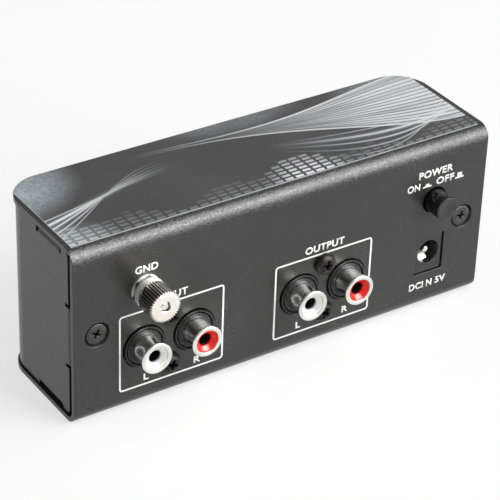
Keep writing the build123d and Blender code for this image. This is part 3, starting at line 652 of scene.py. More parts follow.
@dataclass(frozen=True)
class LabelPrint:
    """Glossy printed film on the top: streaks, ribbons, level bars and haze on dark grey, and a painted
    highlight along its near and left edges.

    Places are in millimetres on the top plate.
    """

    ground: Colour = (0.046, 0.0445, 0.045)
    ground_light: Colour = (0.066, 0.064, 0.0645)
    pale: Colour = (0.62, 0.72, 0.77)
    white: Colour = (0.86, 0.89, 0.90)
    near_y: float = -15.2
    left_x: float = -58.85
    bar_pitch: Place = (3.0, 1.55)
    # Level height, rise, length and starting angle of each wave, then its line's width and strength.
    waves: tuple[tuple[float, ...], ...] = (
        (-1.0, 6.0, 118.0, 2.50, 0.50, 1.0),
        (-1.6, 7.8, 112.0, 2.62, 0.28, 0.95),
        (-2.2, 9.6, 106.0, 2.74, 0.20, 0.8),
        (-0.4, 4.2, 126.0, 2.38, 0.18, 0.75),
        (-2.8, 11.4, 101.0, 2.86, 0.14, 0.65),
    )
    # Middle, reach each way and strength of each cloudy patch.
    patches: tuple[tuple[float, ...], ...] = (
        (-66.0, 15.0, 26.0, 19.0, 1.15),
        (-62.0, -14.0, 18.0, 10.0, 0.60),
        (6.0, 19.0, 22.0, 9.0, 0.35),
        (60.0, 12.0, 30.0, 14.0, 0.55),
    )

    def ribbons(self, graph: Graph, x: Socket, y: Socket) -> tuple[Socket, Socket]:
        """Draw the flowing ribbons.

        Args:
            graph: The material's tree.
            x: Place along the label.
            y: Place across it.

        Returns:
            Masks of their bright lines and of the pale glow round them.
        """
        lines: Value = 0.0
        fill: Value = 0.0
        for base, rise, length, start, width, gain in self.waves:
            swing = graph.math("SINE", graph.math("MULTIPLY_ADD", x, 2 * math.pi / length, start))
            away = graph.distance_to(y, graph.add(graph.times(swing, rise), base))
            lines = graph.most(lines, graph.times(graph.fade(away, width * 1.4, width * 0.5), gain))
            fill = graph.most(fill, graph.fade(away, width * 4.0, 0.0, 0.0, 0.30 * gain))
        along = graph.add(graph.fade(x, -18.0, -56.0), graph.fade(x, 4.0, 40.0, 0.0, 0.8))
        return graph.times(lines, along), graph.times(fill, along)

    def horn(self, graph: Graph, x: Socket, y: Socket) -> tuple[Socket, Socket]:
        """Draw the flaring band of streaks.

        Args:
            graph: The material's tree.
            x: Place along the label.
            y: Place across it.

        Returns:
            Masks of the streaks and of the band's bright outlines.
        """
        opening = graph.fade(x, -26.0, 60.0)
        half = graph.math("MULTIPLY_ADD", graph.times(opening, opening), 13.0, 0.45)
        across = graph.divide(graph.subtract(y, graph.fade(x, -34.0, 60.0, 13.2, 3.6)), half)
        away = graph.math("ABSOLUTE", across)
        lanes = graph.times(across, 8.0)
        streak = graph.fade(graph.distance_to(graph.math("FRACT", lanes), 0.5), 0.48, 0.22)
        lane = graph.math("FLOOR", lanes)
        lane_place = graph.result("ShaderNodeCombineXYZ", graph.times(x, 0.012), lane, 0.0)
        shimmer = graph.fade(graph.noise(lane_place, 2.3, 1.0), 0.30, 0.62, 0.35, 1.0)
        filled = graph.math("MULTIPLY_ADD", graph.times(streak, shimmer), 0.84, 0.16)
        band = graph.times(graph.times(graph.fade(away, 1.0, 0.95), filled), graph.fade(x, -12.0, 46.0))
        rim = graph.fade(graph.times(graph.distance_to(away, 1.0), half), 0.42, 0.16)
        return band, graph.times(rim, graph.fade(x, -30.0, 26.0))

    def meter(self, graph: Graph, x: Socket, y: Socket) -> Socket:
        """Draw the row of level bars along the near side.

        Args:
            graph: The material's tree.
            x: Place along the label.
            y: Place across it.

        Returns:
            Their mask.
        """
        columns = graph.divide(x, self.bar_pitch[0])
        rows = graph.divide(graph.subtract(y, self.near_y), self.bar_pitch[1])
        in_x, in_y = (graph.distance_to(graph.math("FRACT", cells), 0.5) for cells in (columns, rows))
        column, row = graph.math("FLOOR", columns), graph.math("FLOOR", rows)
        tile = graph.times(graph.fade(in_x, 0.40, 0.35), graph.fade(in_y, 0.34, 0.26))
        beat = graph.math("SINE", graph.times(column, 0.83))
        sway = graph.math("SINE", graph.math("MULTIPLY_ADD", column, 0.31, 1.2))
        level = graph.add(graph.add(graph.times(beat, 1.1), graph.times(sway, 1.6)), 3.2)
        shown = graph.math("LESS_THAN", row, level)
        faded = graph.fade(graph.divide(row, graph.most(level, 0.5)), 0.0, 1.1, 0.95, 0.30)
        in_middle = graph.fade(graph.distance_to(x, 8.0), 13.0, 3.0)
        bright = graph.most(graph.fade(x, -44.0, -56.0, 0.0, 0.5), in_middle)
        strength = graph.add(graph.times(bright, 0.92), 0.18)
        return graph.times(graph.times(graph.times(tile, shown), faded), strength)

    def haze(self, graph: Graph, x: Socket, y: Socket) -> Socket:
        """Draw the cloudy light patches in the corners.

        Args:
            graph: The material's tree.
            x: Place along the label.
            y: Place across it.

        Returns:
            Their mask.
        """
        total: Value = 0.0
        for middle_x, middle_y, reach_x, reach_y, gain in self.patches:
            off_x = graph.divide(graph.subtract(x, middle_x), reach_x)
            off_y = graph.divide(graph.subtract(y, middle_y), reach_y)
            square = graph.add(graph.times(off_x, off_x), graph.times(off_y, off_y))
            total = graph.add(total, graph.fade(square, 1.0, 0.0, 0.0, gain))
        rough = graph.fade(graph.noise(graph.place(), 900.0, 4.0, 0.75), 0.25, 0.8, 0.45, 1.0)
        clouds = graph.fade(graph.noise(graph.place(), 70.0, 3.0, 0.5), 0.35, 0.7)
        return graph.times(graph.times(total, rough), graph.fade(clouds, 0.0, 1.0, 0.7, 1.0))

    def make(self) -> Material:
        """Build the material.

        Returns:
            The material.
        """
        graph = Surface("printed_top_label")
        x, y, _ = graph.place_mm()
        lines, fill = self.ribbons(graph, x, y)
        band, rims = self.horn(graph, x, y)
        bars = self.meter(graph, x, y)
        haze = self.haze(graph, x, y)
        tone = graph.fade(graph.noise(graph.place(), 38.0, 2.0), 0.3, 0.7)
        colour = graph.blend(tone, self.ground, self.ground_light)
        # Painted highlight: a pale line along the label's near and left edges.
        near_edge_highlight = graph.fade(y, self.near_y + 0.30, self.near_y + 0.16)
        edge = graph.times(graph.most(near_edge_highlight, graph.fade(x, self.left_x + 0.2, self.left_x)), 0.5)
        for mask in (haze, fill):
            colour = graph.blend(mask, colour, self.pale)
        for mask in (band, bars, lines, rims, edge):
            colour = graph.blend(mask, colour, self.white)
        smudge, dust = graph.group(EFFECTS.handling, Patch=60.0, Speck=1300.0)
        colour = graph.blend(graph.times(dust, 0.05), colour, grey(0.5))
        ripple = graph.noise(graph.place(), 120.0, 2.0, 0.5)
        return graph.finish(colour, graph.between(smudge, 0.22, 0.32), graph.bump(ripple, 0.00003, 0.5))


@dataclass(frozen=True)
class BoardMask:
    """Green solder mask over copper tracks."""

    mask: Colour = (0.02, 0.16, 0.06)
    track: Colour = (0.05, 0.26, 0.10)
    track_pitch: float = 2.54

    def make(self) -> Material:
        """Build the material.

        Returns:
            The material.
        """
        graph = Surface("green_solder_mask")
        x, _, z = graph.place_mm()
        across = graph.distance_to(graph.math("FRACT", graph.divide(z, self.track_pitch)), 0.5)
        stretch = graph.fade(graph.noise(graph.stretched((60, 1, 390)), 1.0), 0.5, 0.52)
        tracks = graph.times(graph.fade(across, 0.2, 0.14), stretch)
        weave = graph.times(graph.math("SINE", graph.times(x, 9.0)), graph.math("SINE", graph.times(z, 9.0)))
        height = graph.add(tracks, graph.times(weave, 0.12))
        colour = graph.blend(tracks, self.mask, self.track)
        return graph.finish(colour, graph.between(tracks, 0.34, 0.26), graph.bump(height, 0.00003))


@dataclass(frozen=True)
class ChipPackage:
    """Black moulded chip package with tinned legs."""

    body: Colour = (0.022, 0.022, 0.023)
    leg: Colour = (0.62, 0.62, 0.60)
    leg_dull: Colour = (0.5, 0.5, 0.48)
    middle_z: float = 19.5
    half_width: float = 3.2
    body_front: float = -5.45

    def make(self) -> Material:
        """Build the material.

        Returns:
            The material.
        """
        graph = Surface("chip_package")
        _, y, z = graph.place_mm()
        inside = graph.math("LESS_THAN", graph.distance_to(z, self.middle_z), self.half_width + 0.02)
        inside = graph.times(inside, graph.math("GREATER_THAN", y, self.body_front - 0.02))
        height, tone = graph.group(EFFECTS.texture_coat, Grain=6000.0, Drift=400.0)
        legs = graph.blend(graph.fade(tone, 0.3, 0.7), self.leg_dull, self.leg)
        colour = graph.blend(inside, legs, self.body)
        rough = graph.between(inside, 0.3, 0.55)
        return graph.finish(colour, rough, graph.bump(height, 0.00001), graph.subtract(1.0, inside))


@dataclass(frozen=True)
class RingedCoat:
    """Lacquered resistors with colour rings, on tinned leads."""

    coat: Colour = (0.16, 0.34, 0.48)
    lead: Colour = (0.6, 0.6, 0.58)
    first_x: float = -41.0
    pitch: float = 12.4
    half_body: float = 3.15
    rings: tuple[tuple[float, Colour], ...] = (
        (-2.1, (0.45, 0.16, 0.03)),
        (-1.1, grey(0.02)),
        (-0.1, grey(0.02)),
        (0.9, (0.5, 0.05, 0.03)),
        (2.1, (0.45, 0.25, 0.08)),
    )

    def make(self) -> Material:
        """Build the material.

        Returns:
            The material.
        """
        graph = Surface("ringed_resistor_coat")
        x, _, _ = graph.place_mm()
        turns = graph.divide(graph.subtract(x, self.first_x - self.pitch / 2), self.pitch)
        along = graph.times(graph.subtract(graph.math("FRACT", turns), 0.5), self.pitch)
        height, tone = graph.group(EFFECTS.texture_coat, Grain=4000.0, Drift=600.0)
        colour = graph.blend(tone, self.coat, scaled(self.coat, 1.15))
        for middle, ring in self.rings:
            colour = graph.blend(graph.fade(graph.distance_to(along, middle), 0.32, 0.26), colour, ring)
        is_lead = graph.math("GREATER_THAN", graph.math("ABSOLUTE", along), self.half_body + 0.02)
        colour = graph.blend(is_lead, colour, self.lead)
        return graph.finish(colour, graph.between(is_lead, 0.22, 0.35), graph.bump(height, 0.00001), is_lead)


@dataclass(frozen=True)
class CanSleeve:
    """Dark printed sleeve of an electrolytic can, its end bare aluminium."""

    sleeve: Colour = (0.025, 0.035, 0.07)
    end: Colour = grey(0.7)
    end_y: float = 3.93

    def make(self) -> Material:
        """Build the material.

        Returns:
            The material.
        """
        graph = Surface("can_sleeve")
        bare = graph.math("GREATER_THAN", graph.place_mm()[1], self.end_y)
        height, tone = graph.group(EFFECTS.texture_coat, Grain=3000.0, Drift=300.0)
        colour = graph.blend(bare, graph.blend(tone, self.sleeve, scaled(self.sleeve, 1.4)), self.end)
        return graph.finish(colour, graph.between(bare, 0.3, 0.38), graph.bump(height, 0.00001), bare)


# --------------------------------------------------------------- mesh bench
def deselect() -> None:
    """Leave edit mode and select nothing."""
    if bpy.context.object is not None and bpy.context.object.mode != "OBJECT":
        bpy.ops.object.mode_set(mode="OBJECT")
    for piece in bpy.context.view_layer.objects:
        piece.select_set(False)


def pick(piece: Piece, *others: Piece) -> None:
    """Select some pieces.

    Args:
        piece: The piece to make active.
        others: More pieces to select.
    """
    deselect()
    for chosen in (piece, *others):
        chosen.select_set(True)
    bpy.context.view_layer.objects.active = piece


@contextmanager
def editing(piece: Piece, mode: str = "FACE") -> Iterator[None]:
    """Hold a piece in edit mode, with everything selected at the start.

    Args:
        piece: The piece to edit.
        mode: VERT, EDGE or FACE selection.

    Yields:
        Nothing; the piece is in edit mode inside the block.
    """
    pick(piece)
    bpy.ops.object.mode_set(mode="EDIT")
    bpy.ops.mesh.select_mode(type=mode)
    bpy.ops.mesh.select_all(action="SELECT")
    yield
    bpy.ops.object.mode_set(mode="OBJECT")


def select_points(piece: Piece, wanted: Callable[[Vector], bool]) -> None:
    """Select a mesh's vertices by place, from edit mode, and leave vertex selection on.

    Args:
        piece: The piece, in edit mode.
        wanted: Test on a vertex's place in millimetres.
    """
    bpy.ops.mesh.select_mode(type="VERT")
    bpy.ops.mesh.select_all(action="DESELECT")
    bpy.ops.object.mode_set(mode="OBJECT")
    for point in piece.data.vertices:
        point.select = wanted(point.co / MM)
    bpy.ops.object.mode_set(mode="EDIT")


def push_edges(x: float, y: float, z: float) -> None:
    """Extrude the selected edges by a move in millimetres."""
    bpy.ops.mesh.extrude_edges_move(TRANSFORM_OT_translate={"value": (x * MM, y * MM, z * MM)})


def push_region(x: float, y: float, z: float) -> None:
    """Extrude the selected faces by a move in millimetres."""
    bpy.ops.mesh.extrude_region_move(TRANSFORM_OT_translate={"value": (x * MM, y * MM, z * MM)})


def settle(piece: Piece) -> None:
    """Move a piece's place into its mesh, so that its object sits at the origin."""
    pick(piece)
    bpy.ops.object.transform_apply(location=True, rotation=True, scale=True)


def added(name: str, width: float = 1.0, depth: float = 1.0) -> Piece:
    """Name and settle the piece that was just added.

    Args:
        name: The piece's name.
        width: Scale along its own x.
        depth: Scale along its own y.

    Returns:
        The piece.
    """
    piece = bpy.context.object
    piece.name = piece.data.name = name
    piece.scale = (width * piece.scale.x, depth * piece.scale.y, piece.scale.z)
    settle(piece)
    return piece


def rectangle(name: str, middle: Vector, width: float, depth: float, tilt: float = 0.0) -> Piece:
    """Add a flat rectangle.

    Args:
        name: The piece's name.
        middle: Its middle in millimetres.
        width: Its size along x.
        depth: Its other size.
        tilt: Turn about x, in radians.

    Returns:
        The rectangle.
    """
    deselect()
    bpy.ops.mesh.primitive_plane_add(size=1.0, location=middle * MM, rotation=(tilt, 0, 0))
    return added(name, width * MM, depth * MM)


def clean_normals(piece: Piece) -> None:
    """Merge doubles and turn every face outwards.

    Args:
        piece: The piece.
    """
    with editing(piece):
        bpy.ops.mesh.remove_doubles(threshold=MERGE_DISTANCE)
        bpy.ops.mesh.normals_make_consistent(inside=False)


def modify(piece: Piece, kind: str, **settings: object) -> None:
    """Put a modifier on a piece and apply it.

    Args:
        piece: The piece.
        kind: Blender's name for the modifier's type.
        settings: Properties to set on it.
    """
    pick(piece)
    modifier = piece.modifiers.new(kind.lower(), kind)
    for name, value in settings.items():
        setattr(modifier, name, value)
    bpy.ops.object.modifier_apply(modifier=modifier.name)


def soften(piece: Piece, width: float, segments: int = 2, angle: float = 35.0) -> None:
    """Round a piece's sharp edges.

    Args:
        piece: The piece.
        width: Bevel width in millimetres.
        segments: Number of steps round the edge.
        angle: Edges sharper than this, in degrees, are rounded.
    """
    limit = {"limit_method": "ANGLE", "angle_limit": math.radians(angle)}
    modify(piece, "BEVEL", width=width * MM, segments=segments, miter_outer="MITER_ARC", **limit)


def shade(piece: Piece, angle: float) -> None:
    """Shade a piece smooth where its faces meet at less than an angle in degrees."""
    pick(piece)
    bpy.ops.object.shade_smooth_by_angle(angle=math.radians(angle))


def cut(piece: Piece, tool: Piece) -> None:
    """Cut a tool's shape out of a piece and throw the tool away."""
    modify(piece, "BOOLEAN", operation="DIFFERENCE", solver="EXACT", object=tool)
    bpy.data.objects.remove(tool)


def merge_into(piece: Piece, others: list[Piece]) -> Piece:
    """Join several pieces into one.

    Args:
        piece: The piece to keep.
        others: The pieces that it takes in.

    Returns:
        The piece.
    """
    pick(piece, *others)
    bpy.ops.object.join()
    return piece


def copy_to(piece: Piece, name: str, shift: tuple[float, float, float]) -> Piece:
    """Copy a piece with its own mesh and move the copy's mesh.

    Args:
        piece: The piece to copy.
        name: The copy's name.
        shift: Move in millimetres.

    Returns:
        The copy.
    """
    made = piece.copy()
    made.data = piece.data.copy()
    made.name = made.data.name = name
    # The copy stands for its own node only, not for the first piece's.
    made.pop("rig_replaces", None)
    bpy.context.scene.collection.objects.link(made)
    made.data.transform(Matrix.Translation(Vector(shift) * MM))
    return made


def register(piece: Piece, material: Material, body: Body, slot: Slot | None = None, *nodes: str) -> None:
    """Dress a piece in its material, and tell the frame what it rides on and stands for.

    Args:
        piece: The finished piece.
        material: Its material.
        body: The body that it moves with.
        slot: Its finish in the record, if it has one. Not used.
        nodes: The CAD nodes that it stands for.
    """
    piece.data.materials.clear()
    piece.data.materials.append(material)
    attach(piece, body.value)
    if nodes:
        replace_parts(piece, *nodes)
    log.info("%s: %d faces, rides on %s", piece.name, len(piece.data.polygons), body.value)


def turn(name: str, centre: Place, rings: list[Ring], steps: int = 96, closed: bool = True) -> Piece:
    """Turn a piece about an axis square to the panel, ring by ring.

    Args:
        name: The piece's name.
        centre: The axis's x and z in millimetres.
        rings: Radius and proud height of each ring in order.
        steps: Sides of each ring.
        closed: Whether the last ring joins the first. If not, both get a flat cap.

    Returns:
        The piece.
    """
    first_radius, first_proud = radius, proud = rings[0]
    axis = Vector((centre[0], PANEL_Y, centre[1]))
    deselect()
    bpy.ops.mesh.primitive_circle_add(
        vertices=steps,
        radius=radius * MM,
        location=(axis - Vector((0, proud, 0))) * MM,
        rotation=(math.pi / 2, 0, 0),
    )
    piece = added(name)
    with editing(piece, "EDGE"):
        for next_radius, next_proud in rings[1:] + rings[:1] * closed:
            push_edges(0, proud - next_proud, 0)
            scale = next_radius / radius
            middle = (axis - Vector((0, next_proud, 0))) * MM
            bpy.ops.transform.resize(value=(scale, 1, scale), center_override=middle)
            radius, proud = next_radius, next_proud
        if not closed:
            bpy.ops.mesh.edge_face_add()
            select_points(
                piece,
                lambda p: abs(p[1] - PANEL_Y + first_proud) < NEAR
                and math.hypot(p[0] - centre[0], p[2] - centre[1]) < first_radius + NEAR,
            )
            bpy.ops.mesh.edge_face_add()
    clean_normals(piece)
    return piece


# ---------------------------------------------------------------- the pieces
@dataclass(frozen=True)
class SocketBarrels:
    """Four plated outer contacts with their coloured inserts."""

    places: tuple[tuple[str, float], ...] = (
        ("input_left", -40.9),
        ("input_right", -26.9),
        ("output_left", 3.7),
        ("output_right", 17.7),
    )
    axis_z: float = 16.8
    rear: float = -6.0
    bore: float = 3.0
    outer: float = 3.9
    neck: float = 3.36
    rim: float = 4.15
    front: float = 6.3
    insert_front: float = 6.0
    plug_bore: float = 1.65
    contact_hole: float = 2.05
    contact_from: float = -2.0

    def barrel_rings(self) -> list[Ring]:
        """Profile of the waisted barrel with its rolled rim.

        Returns:
            Its rings, from the back of the bore round to the front of it.
        """
        bore, outer, neck, rim, front = self.bore, self.outer, self.neck, self.rim, self.front
        foot = [(bore, self.rear), (outer, self.rear), (outer, 0.1)]
        taper = [(outer - 0.02, 0.45), (outer - 0.12, 1.1)]
        waist = [(neck + 0.22, 2.4), (neck + 0.06, 3.6), (neck, 4.6), (neck + 0.03, 5.1), (neck + 0.18, 5.36)]
        roll = [(rim - 0.25, 5.5), (rim - 0.06, 5.6), (rim, 5.76), (rim, 6.0), (rim - 0.07, 6.18)]
        face = [(rim - 0.25, front - 0.02), (rim - 0.55, front), (bore + 0.25, front - 0.03)]
        mouth = [(bore + 0.07, front - 0.12), (bore, front - 0.32)]
        return [*foot, *taper, *waist, *roll, *face, *mouth]

    def insert_rings(self) -> list[Ring]:
        """Profile of the insert with its funnel and bore.

        Returns:
            Its rings, from the back round to the contact's hole.
        """
        body, front, plug, hole = self.bore - 0.05, self.insert_front, self.plug_bore, self.contact_hole
        outside = [(hole, self.rear), (body, self.rear), (body, front - 0.12), (body - 0.05, front - 0.03)]
        lip = [(body - 0.14, front), (body - 0.26, front - 0.03), (body - 0.36, front - 0.12)]
        funnel = [(plug + 0.50, front - 0.62), (plug + 0.18, front - 0.82), (plug + 0.04, front - 0.95)]
        inside = [(plug, front - 1.15), (plug, self.contact_from), (hole, self.contact_from)]
        return [*outside, *lip, *funnel, *inside]

    def build(self, plate: Material, white: Material, red: Material) -> None:
        """Make the four barrels and inserts.

        Args:
            plate: Finish of the barrels.
            white: Finish of the left inserts.
            red: Finish of the right inserts.
        """
        first_socket, first_x = self.places[0]
        shapes = (("barrel", "turned", self.barrel_rings()), ("insert", "moulded", self.insert_rings()))
        firsts = []
        for kind, end, rings in shapes:
            firsts.append(turn(f"{first_socket}_{kind}_{end}", (first_x, self.axis_z), rings))
            shade(firsts[-1], 40)
        for socket, x in self.places:
            insert = (white, Slot.WHITE_INSERT) if socket.endswith("left") else (red, Slot.RED_INSERT)
            dresses = ((plate, Slot.NICKEL), insert)
            for first, (kind, end, _), (material, slot) in zip(firsts, shapes, dresses):
                piece = first
                if socket != first_socket:
                    piece = copy_to(first, f"{socket}_{kind}_{end}", (x - first_x, 0, 0))
                register(piece, material, Body.CASE, slot, f"{socket}_{kind}")


@dataclass(frozen=True)
class CrossHeadScrews:
    """Screws of one kind, made as one piece, each turned its own way.

    The profile gives the radius and proud height of each ring, from the tip, and
    the recess's sizes are its arms' reach, width and depth.
    """

    name: str
    node: str
    places: tuple[Place, ...]
    turns: tuple[float, ...]
    profile: tuple[Ring, ...]
    arm: float
    slot: float
    depth: float
    edge: float

    def cross_tool(self) -> Piece:
        """Make the tool that cuts a cross recess, narrower at its foot.

        Returns:
            The tool, in place over the first screw.
        """
        over = 0.6
        x, z = self.places[0]
        mouth_y = PANEL_Y - self.profile[-1][1]
        foot = Vector((x, mouth_y + self.depth, z))
        middle = Vector((x, mouth_y + (self.depth - over) / 2, z))
        size = Vector((self.slot, self.depth + over, self.slot))
        half = self.slot / 2
        deselect()
        bpy.ops.mesh.primitive_cube_add(size=1.0, location=middle * MM, scale=size * MM)
        tool = added(f"{self.name}_tool")
        with editing(tool):
            for axis, side in ((0, 1), (0, -1), (2, 1), (2, -1)):
                select_points(
                    tool,
                    lambda p: (p[axis] - middle[axis]) * side > half - NEAR
                    and abs(p[2 - axis] - middle[2 - axis]) < half + NEAR,
                )
                step = [0.0, 0.0, 0.0]
                step[axis] = side * (self.arm - half)
                push_region(*step)
            select_points(tool, lambda p: p[1] > foot[1] - NEAR)
            bpy.ops.transform.resize(value=(0.45, 1, 0.45), center_override=foot * MM)
        clean_normals(tool)
        return tool

    def build(self, steel: Material) -> None:
        """Make the screws.

        Args:
            steel: Their finish.
        """
        (base_x, base_z), *others = self.places
        first = turn(self.name, self.places[0], list(self.profile), 72, closed=False)
        cut(first, self.cross_tool())
        soften(first, self.edge, 2, 40)
        copies = [copy_to(first, f"{self.name}_copy", (x - base_x, 0, z - base_z)) for x, z in others]
        for screw, angle, (x, z) in zip([first, *copies], self.turns, self.places):
            middle = Matrix.Translation(Vector((x, 0, z)) * MM)
            screw.data.transform(middle @ Matrix.Rotation(math.radians(angle), 4, "Y") @ middle.inverted())
        piece = merge_into(first, copies)
        shade(piece, 38)
        register(piece, steel, Body.CASE, Slot.BLACK_SCREW, self.node)


@dataclass(frozen=True)
class PanHeadScrews(CrossHeadScrews):
    """Four black pan-head screws, two for each socket block."""

    name: str = "socket_screw_heads"
    node: str = "socket_screws"
    places: tuple[Place, ...] = ((-33.9, 9.8), (-33.9, 23.8), (10.7, 9.8), (10.7, 23.8))
    turns: tuple[float, ...] = (18.0, 40.0, 32.0, 12.0)
    profile: tuple[Ring, ...] = (
        *((0.3, -7.0), (1.2, -6.5), (1.2, 0.0), (2.85, 0.0), (2.85, 0.55), (2.78, 0.95)),
        *((2.55, 1.38), (2.13, 1.72), (1.60, 1.91), (0.9, 1.98), (0.35, 2.0)),
    )
    arm: float = 1.74
    slot: float = 1.0
    depth: float = 1.35
    edge: float = 0.07


@dataclass(frozen=True)
class CaseScrews(CrossHeadScrews):
    """Two countersunk screws sunk in the panel's dimples."""

    name: str = "case_screw_heads"
    node: str = "case_screws"
    places: tuple[Place, ...] = ((-53.6, 24.3), (53.6, 24.3))
    turns: tuple[float, ...] = (28.0, 8.0)
    profile: tuple[Ring, ...] = (
        *((0.4, -7.35), (1.45, -6.75), (1.45, -1.6), (2.7, -0.47), (2.7, -0.40)),
        *((2.6, -0.35), (1.55, -0.35), (0.4, -0.35)),
    )
    arm: float = 1.55
    slot: float = 0.80
    depth: float = 1.2
    edge: float = 0.05


@dataclass(frozen=True)
class GroundTerminal:
    """Ground stud with its washers, hex nut and knurled thumb nut."""

    centre: Place = (-40.8, 33.2)
    # Name, body, radius and proud height of the back of each washer.
    washers: tuple[tuple[str, Body, float, float], ...] = (
        ("ground_base_washer", Body.CASE, 3.9, 0.0),
        ("ground_rear_washer", Body.CASE, 4.0, 1.75),
        ("ground_front_washer", Body.LOOSE_WASHER, 4.0, 2.45),
    )
    washer_thick: float = 0.7
    hole: float = 1.8
    hex_flats: float = 7.0
    hex_from: float = 0.7
    hex_height: float = 1.05
    hex_turn: float = 12.0
    nut_from: float = 3.15
    collar: float = 2.9
    collar_length: float = 0.5
    knurl: float = 4.12
    knurl_depth: float = 0.42
    knurl_length: float = 5.9
    lip: float = 1.38
    lip_length: float = 0.7
    teeth: int = 36
    stud: float = 1.75
    stud_reach: float = 8.5
    pip: float = 1.02
    pip_reach: float = 9.2
    stud_foot: float = -1.7
    stud_head: float = 3.3
    stud_head_height: float = 1.8
    thread_from: float = 0.9
    thread_pitch: float = 0.7
    thread_depth: float = 0.16

    def washer(self, name: str, radius: float, back: float) -> Piece:
        """Turn one washer with rolled edges.

        Args:
            name: The piece's name.
            radius: Its radius.
            back: Proud height of its back.

        Returns:
            The washer.
        """
        hole, soft, front = self.hole, self.washer_thick * 0.28, back + self.washer_thick
        rolled = radius - soft * 0.3
        rear_hole = [(hole, back + 0.05), (hole + 0.05, back)]
        rear_edge = [(radius - soft, back), (rolled, back + soft * 0.3), (radius, back + soft)]
        front_edge = [(radius, front - soft), (rolled, front - soft * 0.3), (radius - soft, front)]
        front_hole = [(hole + 0.05, front), (hole, front - 0.05)]
        piece = turn(name, self.centre, [*rear_hole, *rear_edge, *front_edge, *front_hole])
        shade(piece, 40)
        return piece

    def hex_nut(self) -> Piece:
        """Shape the thin hex nut behind the clamp washers.

        Returns:
            The nut.
        """
        middle = Vector((self.centre[0], PANEL_Y - self.hex_from - self.hex_height / 2, self.centre[1])) * MM
        shapes = []
        for name, corners, radius, height, spin in (
            ("ground_hex_nut_cut", 6, self.hex_flats / math.sqrt(3), self.hex_height, self.hex_turn),
            ("hex_nut_drill", 48, self.hole, 4.0, 0.0),
        ):
            deselect()
            bpy.ops.mesh.primitive_cylinder_add(
                vertices=corners,
                radius=radius * MM,
                depth=height * MM,
                location=middle,
                rotation=(math.pi / 2, math.radians(spin), 0),
            )
            shapes.append(added(name))
        piece, drill = shapes
        cut(piece, drill)
        soften(piece, 0.12)
        shade(piece, 35)
        return piece

    def thumb_nut(self) -> Piece:
        """Turn the thumb nut and press its straight knurl.

        Returns:
            The nut.
        """
        hole, collar, knurl, lip, start = self.hole, self.collar, self.knurl, self.lip, self.nut_from
        knurl_from = start + self.collar_length
        front = knurl_from + self.knurl_length
        throat = front - self.lip_length
        x, z = self.centre
        foot = [(hole, start + 0.1), (hole + 0.1, start), (collar - 0.1, start), (collar, start + 0.1)]
        rear = [(collar, knurl_from), (knurl - 0.42, knurl_from), (knurl - 0.10, knurl_from + 0.14)]
        side = [(knurl, knurl_from + 0.34), (knurl, front - 0.26), (knurl - 0.09, front - 0.10)]
        face = [(knurl - 0.30, front), (lip + 0.42, front), (lip + 0.14, front - 0.04), (lip, front - 0.18)]
        rings = [*foot, *rear, *side, *face, (lip, throat), (hole, throat)]
        piece = turn("ground_thumb_nut_knurled", self.centre, rings, self.teeth * 6)
        per_tooth = 2 * math.pi / self.teeth
        with editing(piece, "VERT"):
            # The valley is pressed in twice: a wide shallow pass, then a narrow deep one.
            for low, high, share in ((0.20, 0.80, 0.55 * 0.55), (0.30, 0.70, 0.6)):
                select_points(
                    piece,
                    lambda p: math.hypot(p[0] - x, p[2] - z) > knurl - 1.0
                    and low < (math.atan2(p[2] - z, p[0] - x) / per_tooth) % 1.0 < high
                    and knurl_from + 0.02 < PANEL_Y - p[1] < front + 0.02,
                )
                scale = 1 - share * self.knurl_depth / knurl
                middle = Vector((x, PANEL_Y, z)) * MM
                bpy.ops.transform.resize(value=(scale, 1, scale), center_override=middle)
        shade(piece, 28)
        return piece

    def threaded_stud(self) -> Piece:
        """Turn the stud and wind its thread.

        Returns:
            The stud.
        """
        core, pip, foot = self.stud - self.thread_depth, self.pip, self.stud_foot
        back = foot - self.stud_head_height
        head = [(0.4, back), (self.stud_head, back), (self.stud_head, foot)]
        plain = [(self.stud, foot), (self.stud, 0.6)]
        shank = [(core, 0.75), (core, self.stud_reach - 0.25), (core - 0.30, self.stud_reach)]
        tip = [(pip, self.stud_reach), (pip, self.pip_reach - 0.18), (pip - 0.18, self.pip_reach)]
        rings = [*head, *plain, *shank, *tip, (0.4, self.pip_reach)]
        piece = turn("ground_stud_threaded", self.centre, rings, 64, closed=False)
        piece = merge_into(piece, [self.thread_ridge(core)])
        shade(piece, 32)
        return piece

    def thread_ridge(self, core: float) -> Piece:
        """Wind one ridge round the stud with a screw modifier.

        Args:
            core: Radius of the thread's root.

        Returns:
            The ridge.
        """
        depth, pitch = self.thread_depth, self.thread_pitch
        ridge = rectangle("thread_ridge", Vector((core, 0, 0)), depth, pitch * 0.86)
        with editing(ridge, "VERT"):
            bpy.ops.transform.translate(value=(depth / 2 * MM, 0, 0))
            select_points(ridge, lambda p: p[0] > core + depth / 2)
            bpy.ops.transform.resize(value=(1, 0.2, 1))
            bpy.ops.mesh.select_all(action="SELECT")
            bpy.ops.mesh.delete(type="ONLY_FACE")
        turns = int((self.stud_reach - self.thread_from - 0.5) / pitch)
        steps = {"steps": 40, "render_steps": 40}
        modify(ridge, "SCREW", axis="Y", screw_offset=-pitch * MM, iterations=turns, **steps)
        ridge.location = Vector((self.centre[0], PANEL_Y - self.thread_from, self.centre[1])) * MM
        settle(ridge)
        with editing(ridge, "EDGE"):
            bpy.ops.mesh.remove_doubles(threshold=MERGE_DISTANCE)
            bpy.ops.mesh.select_all(action="DESELECT")
            bpy.ops.mesh.select_non_manifold(extend=False)
            bpy.ops.mesh.fill()
        clean_normals(ridge)
        return ridge

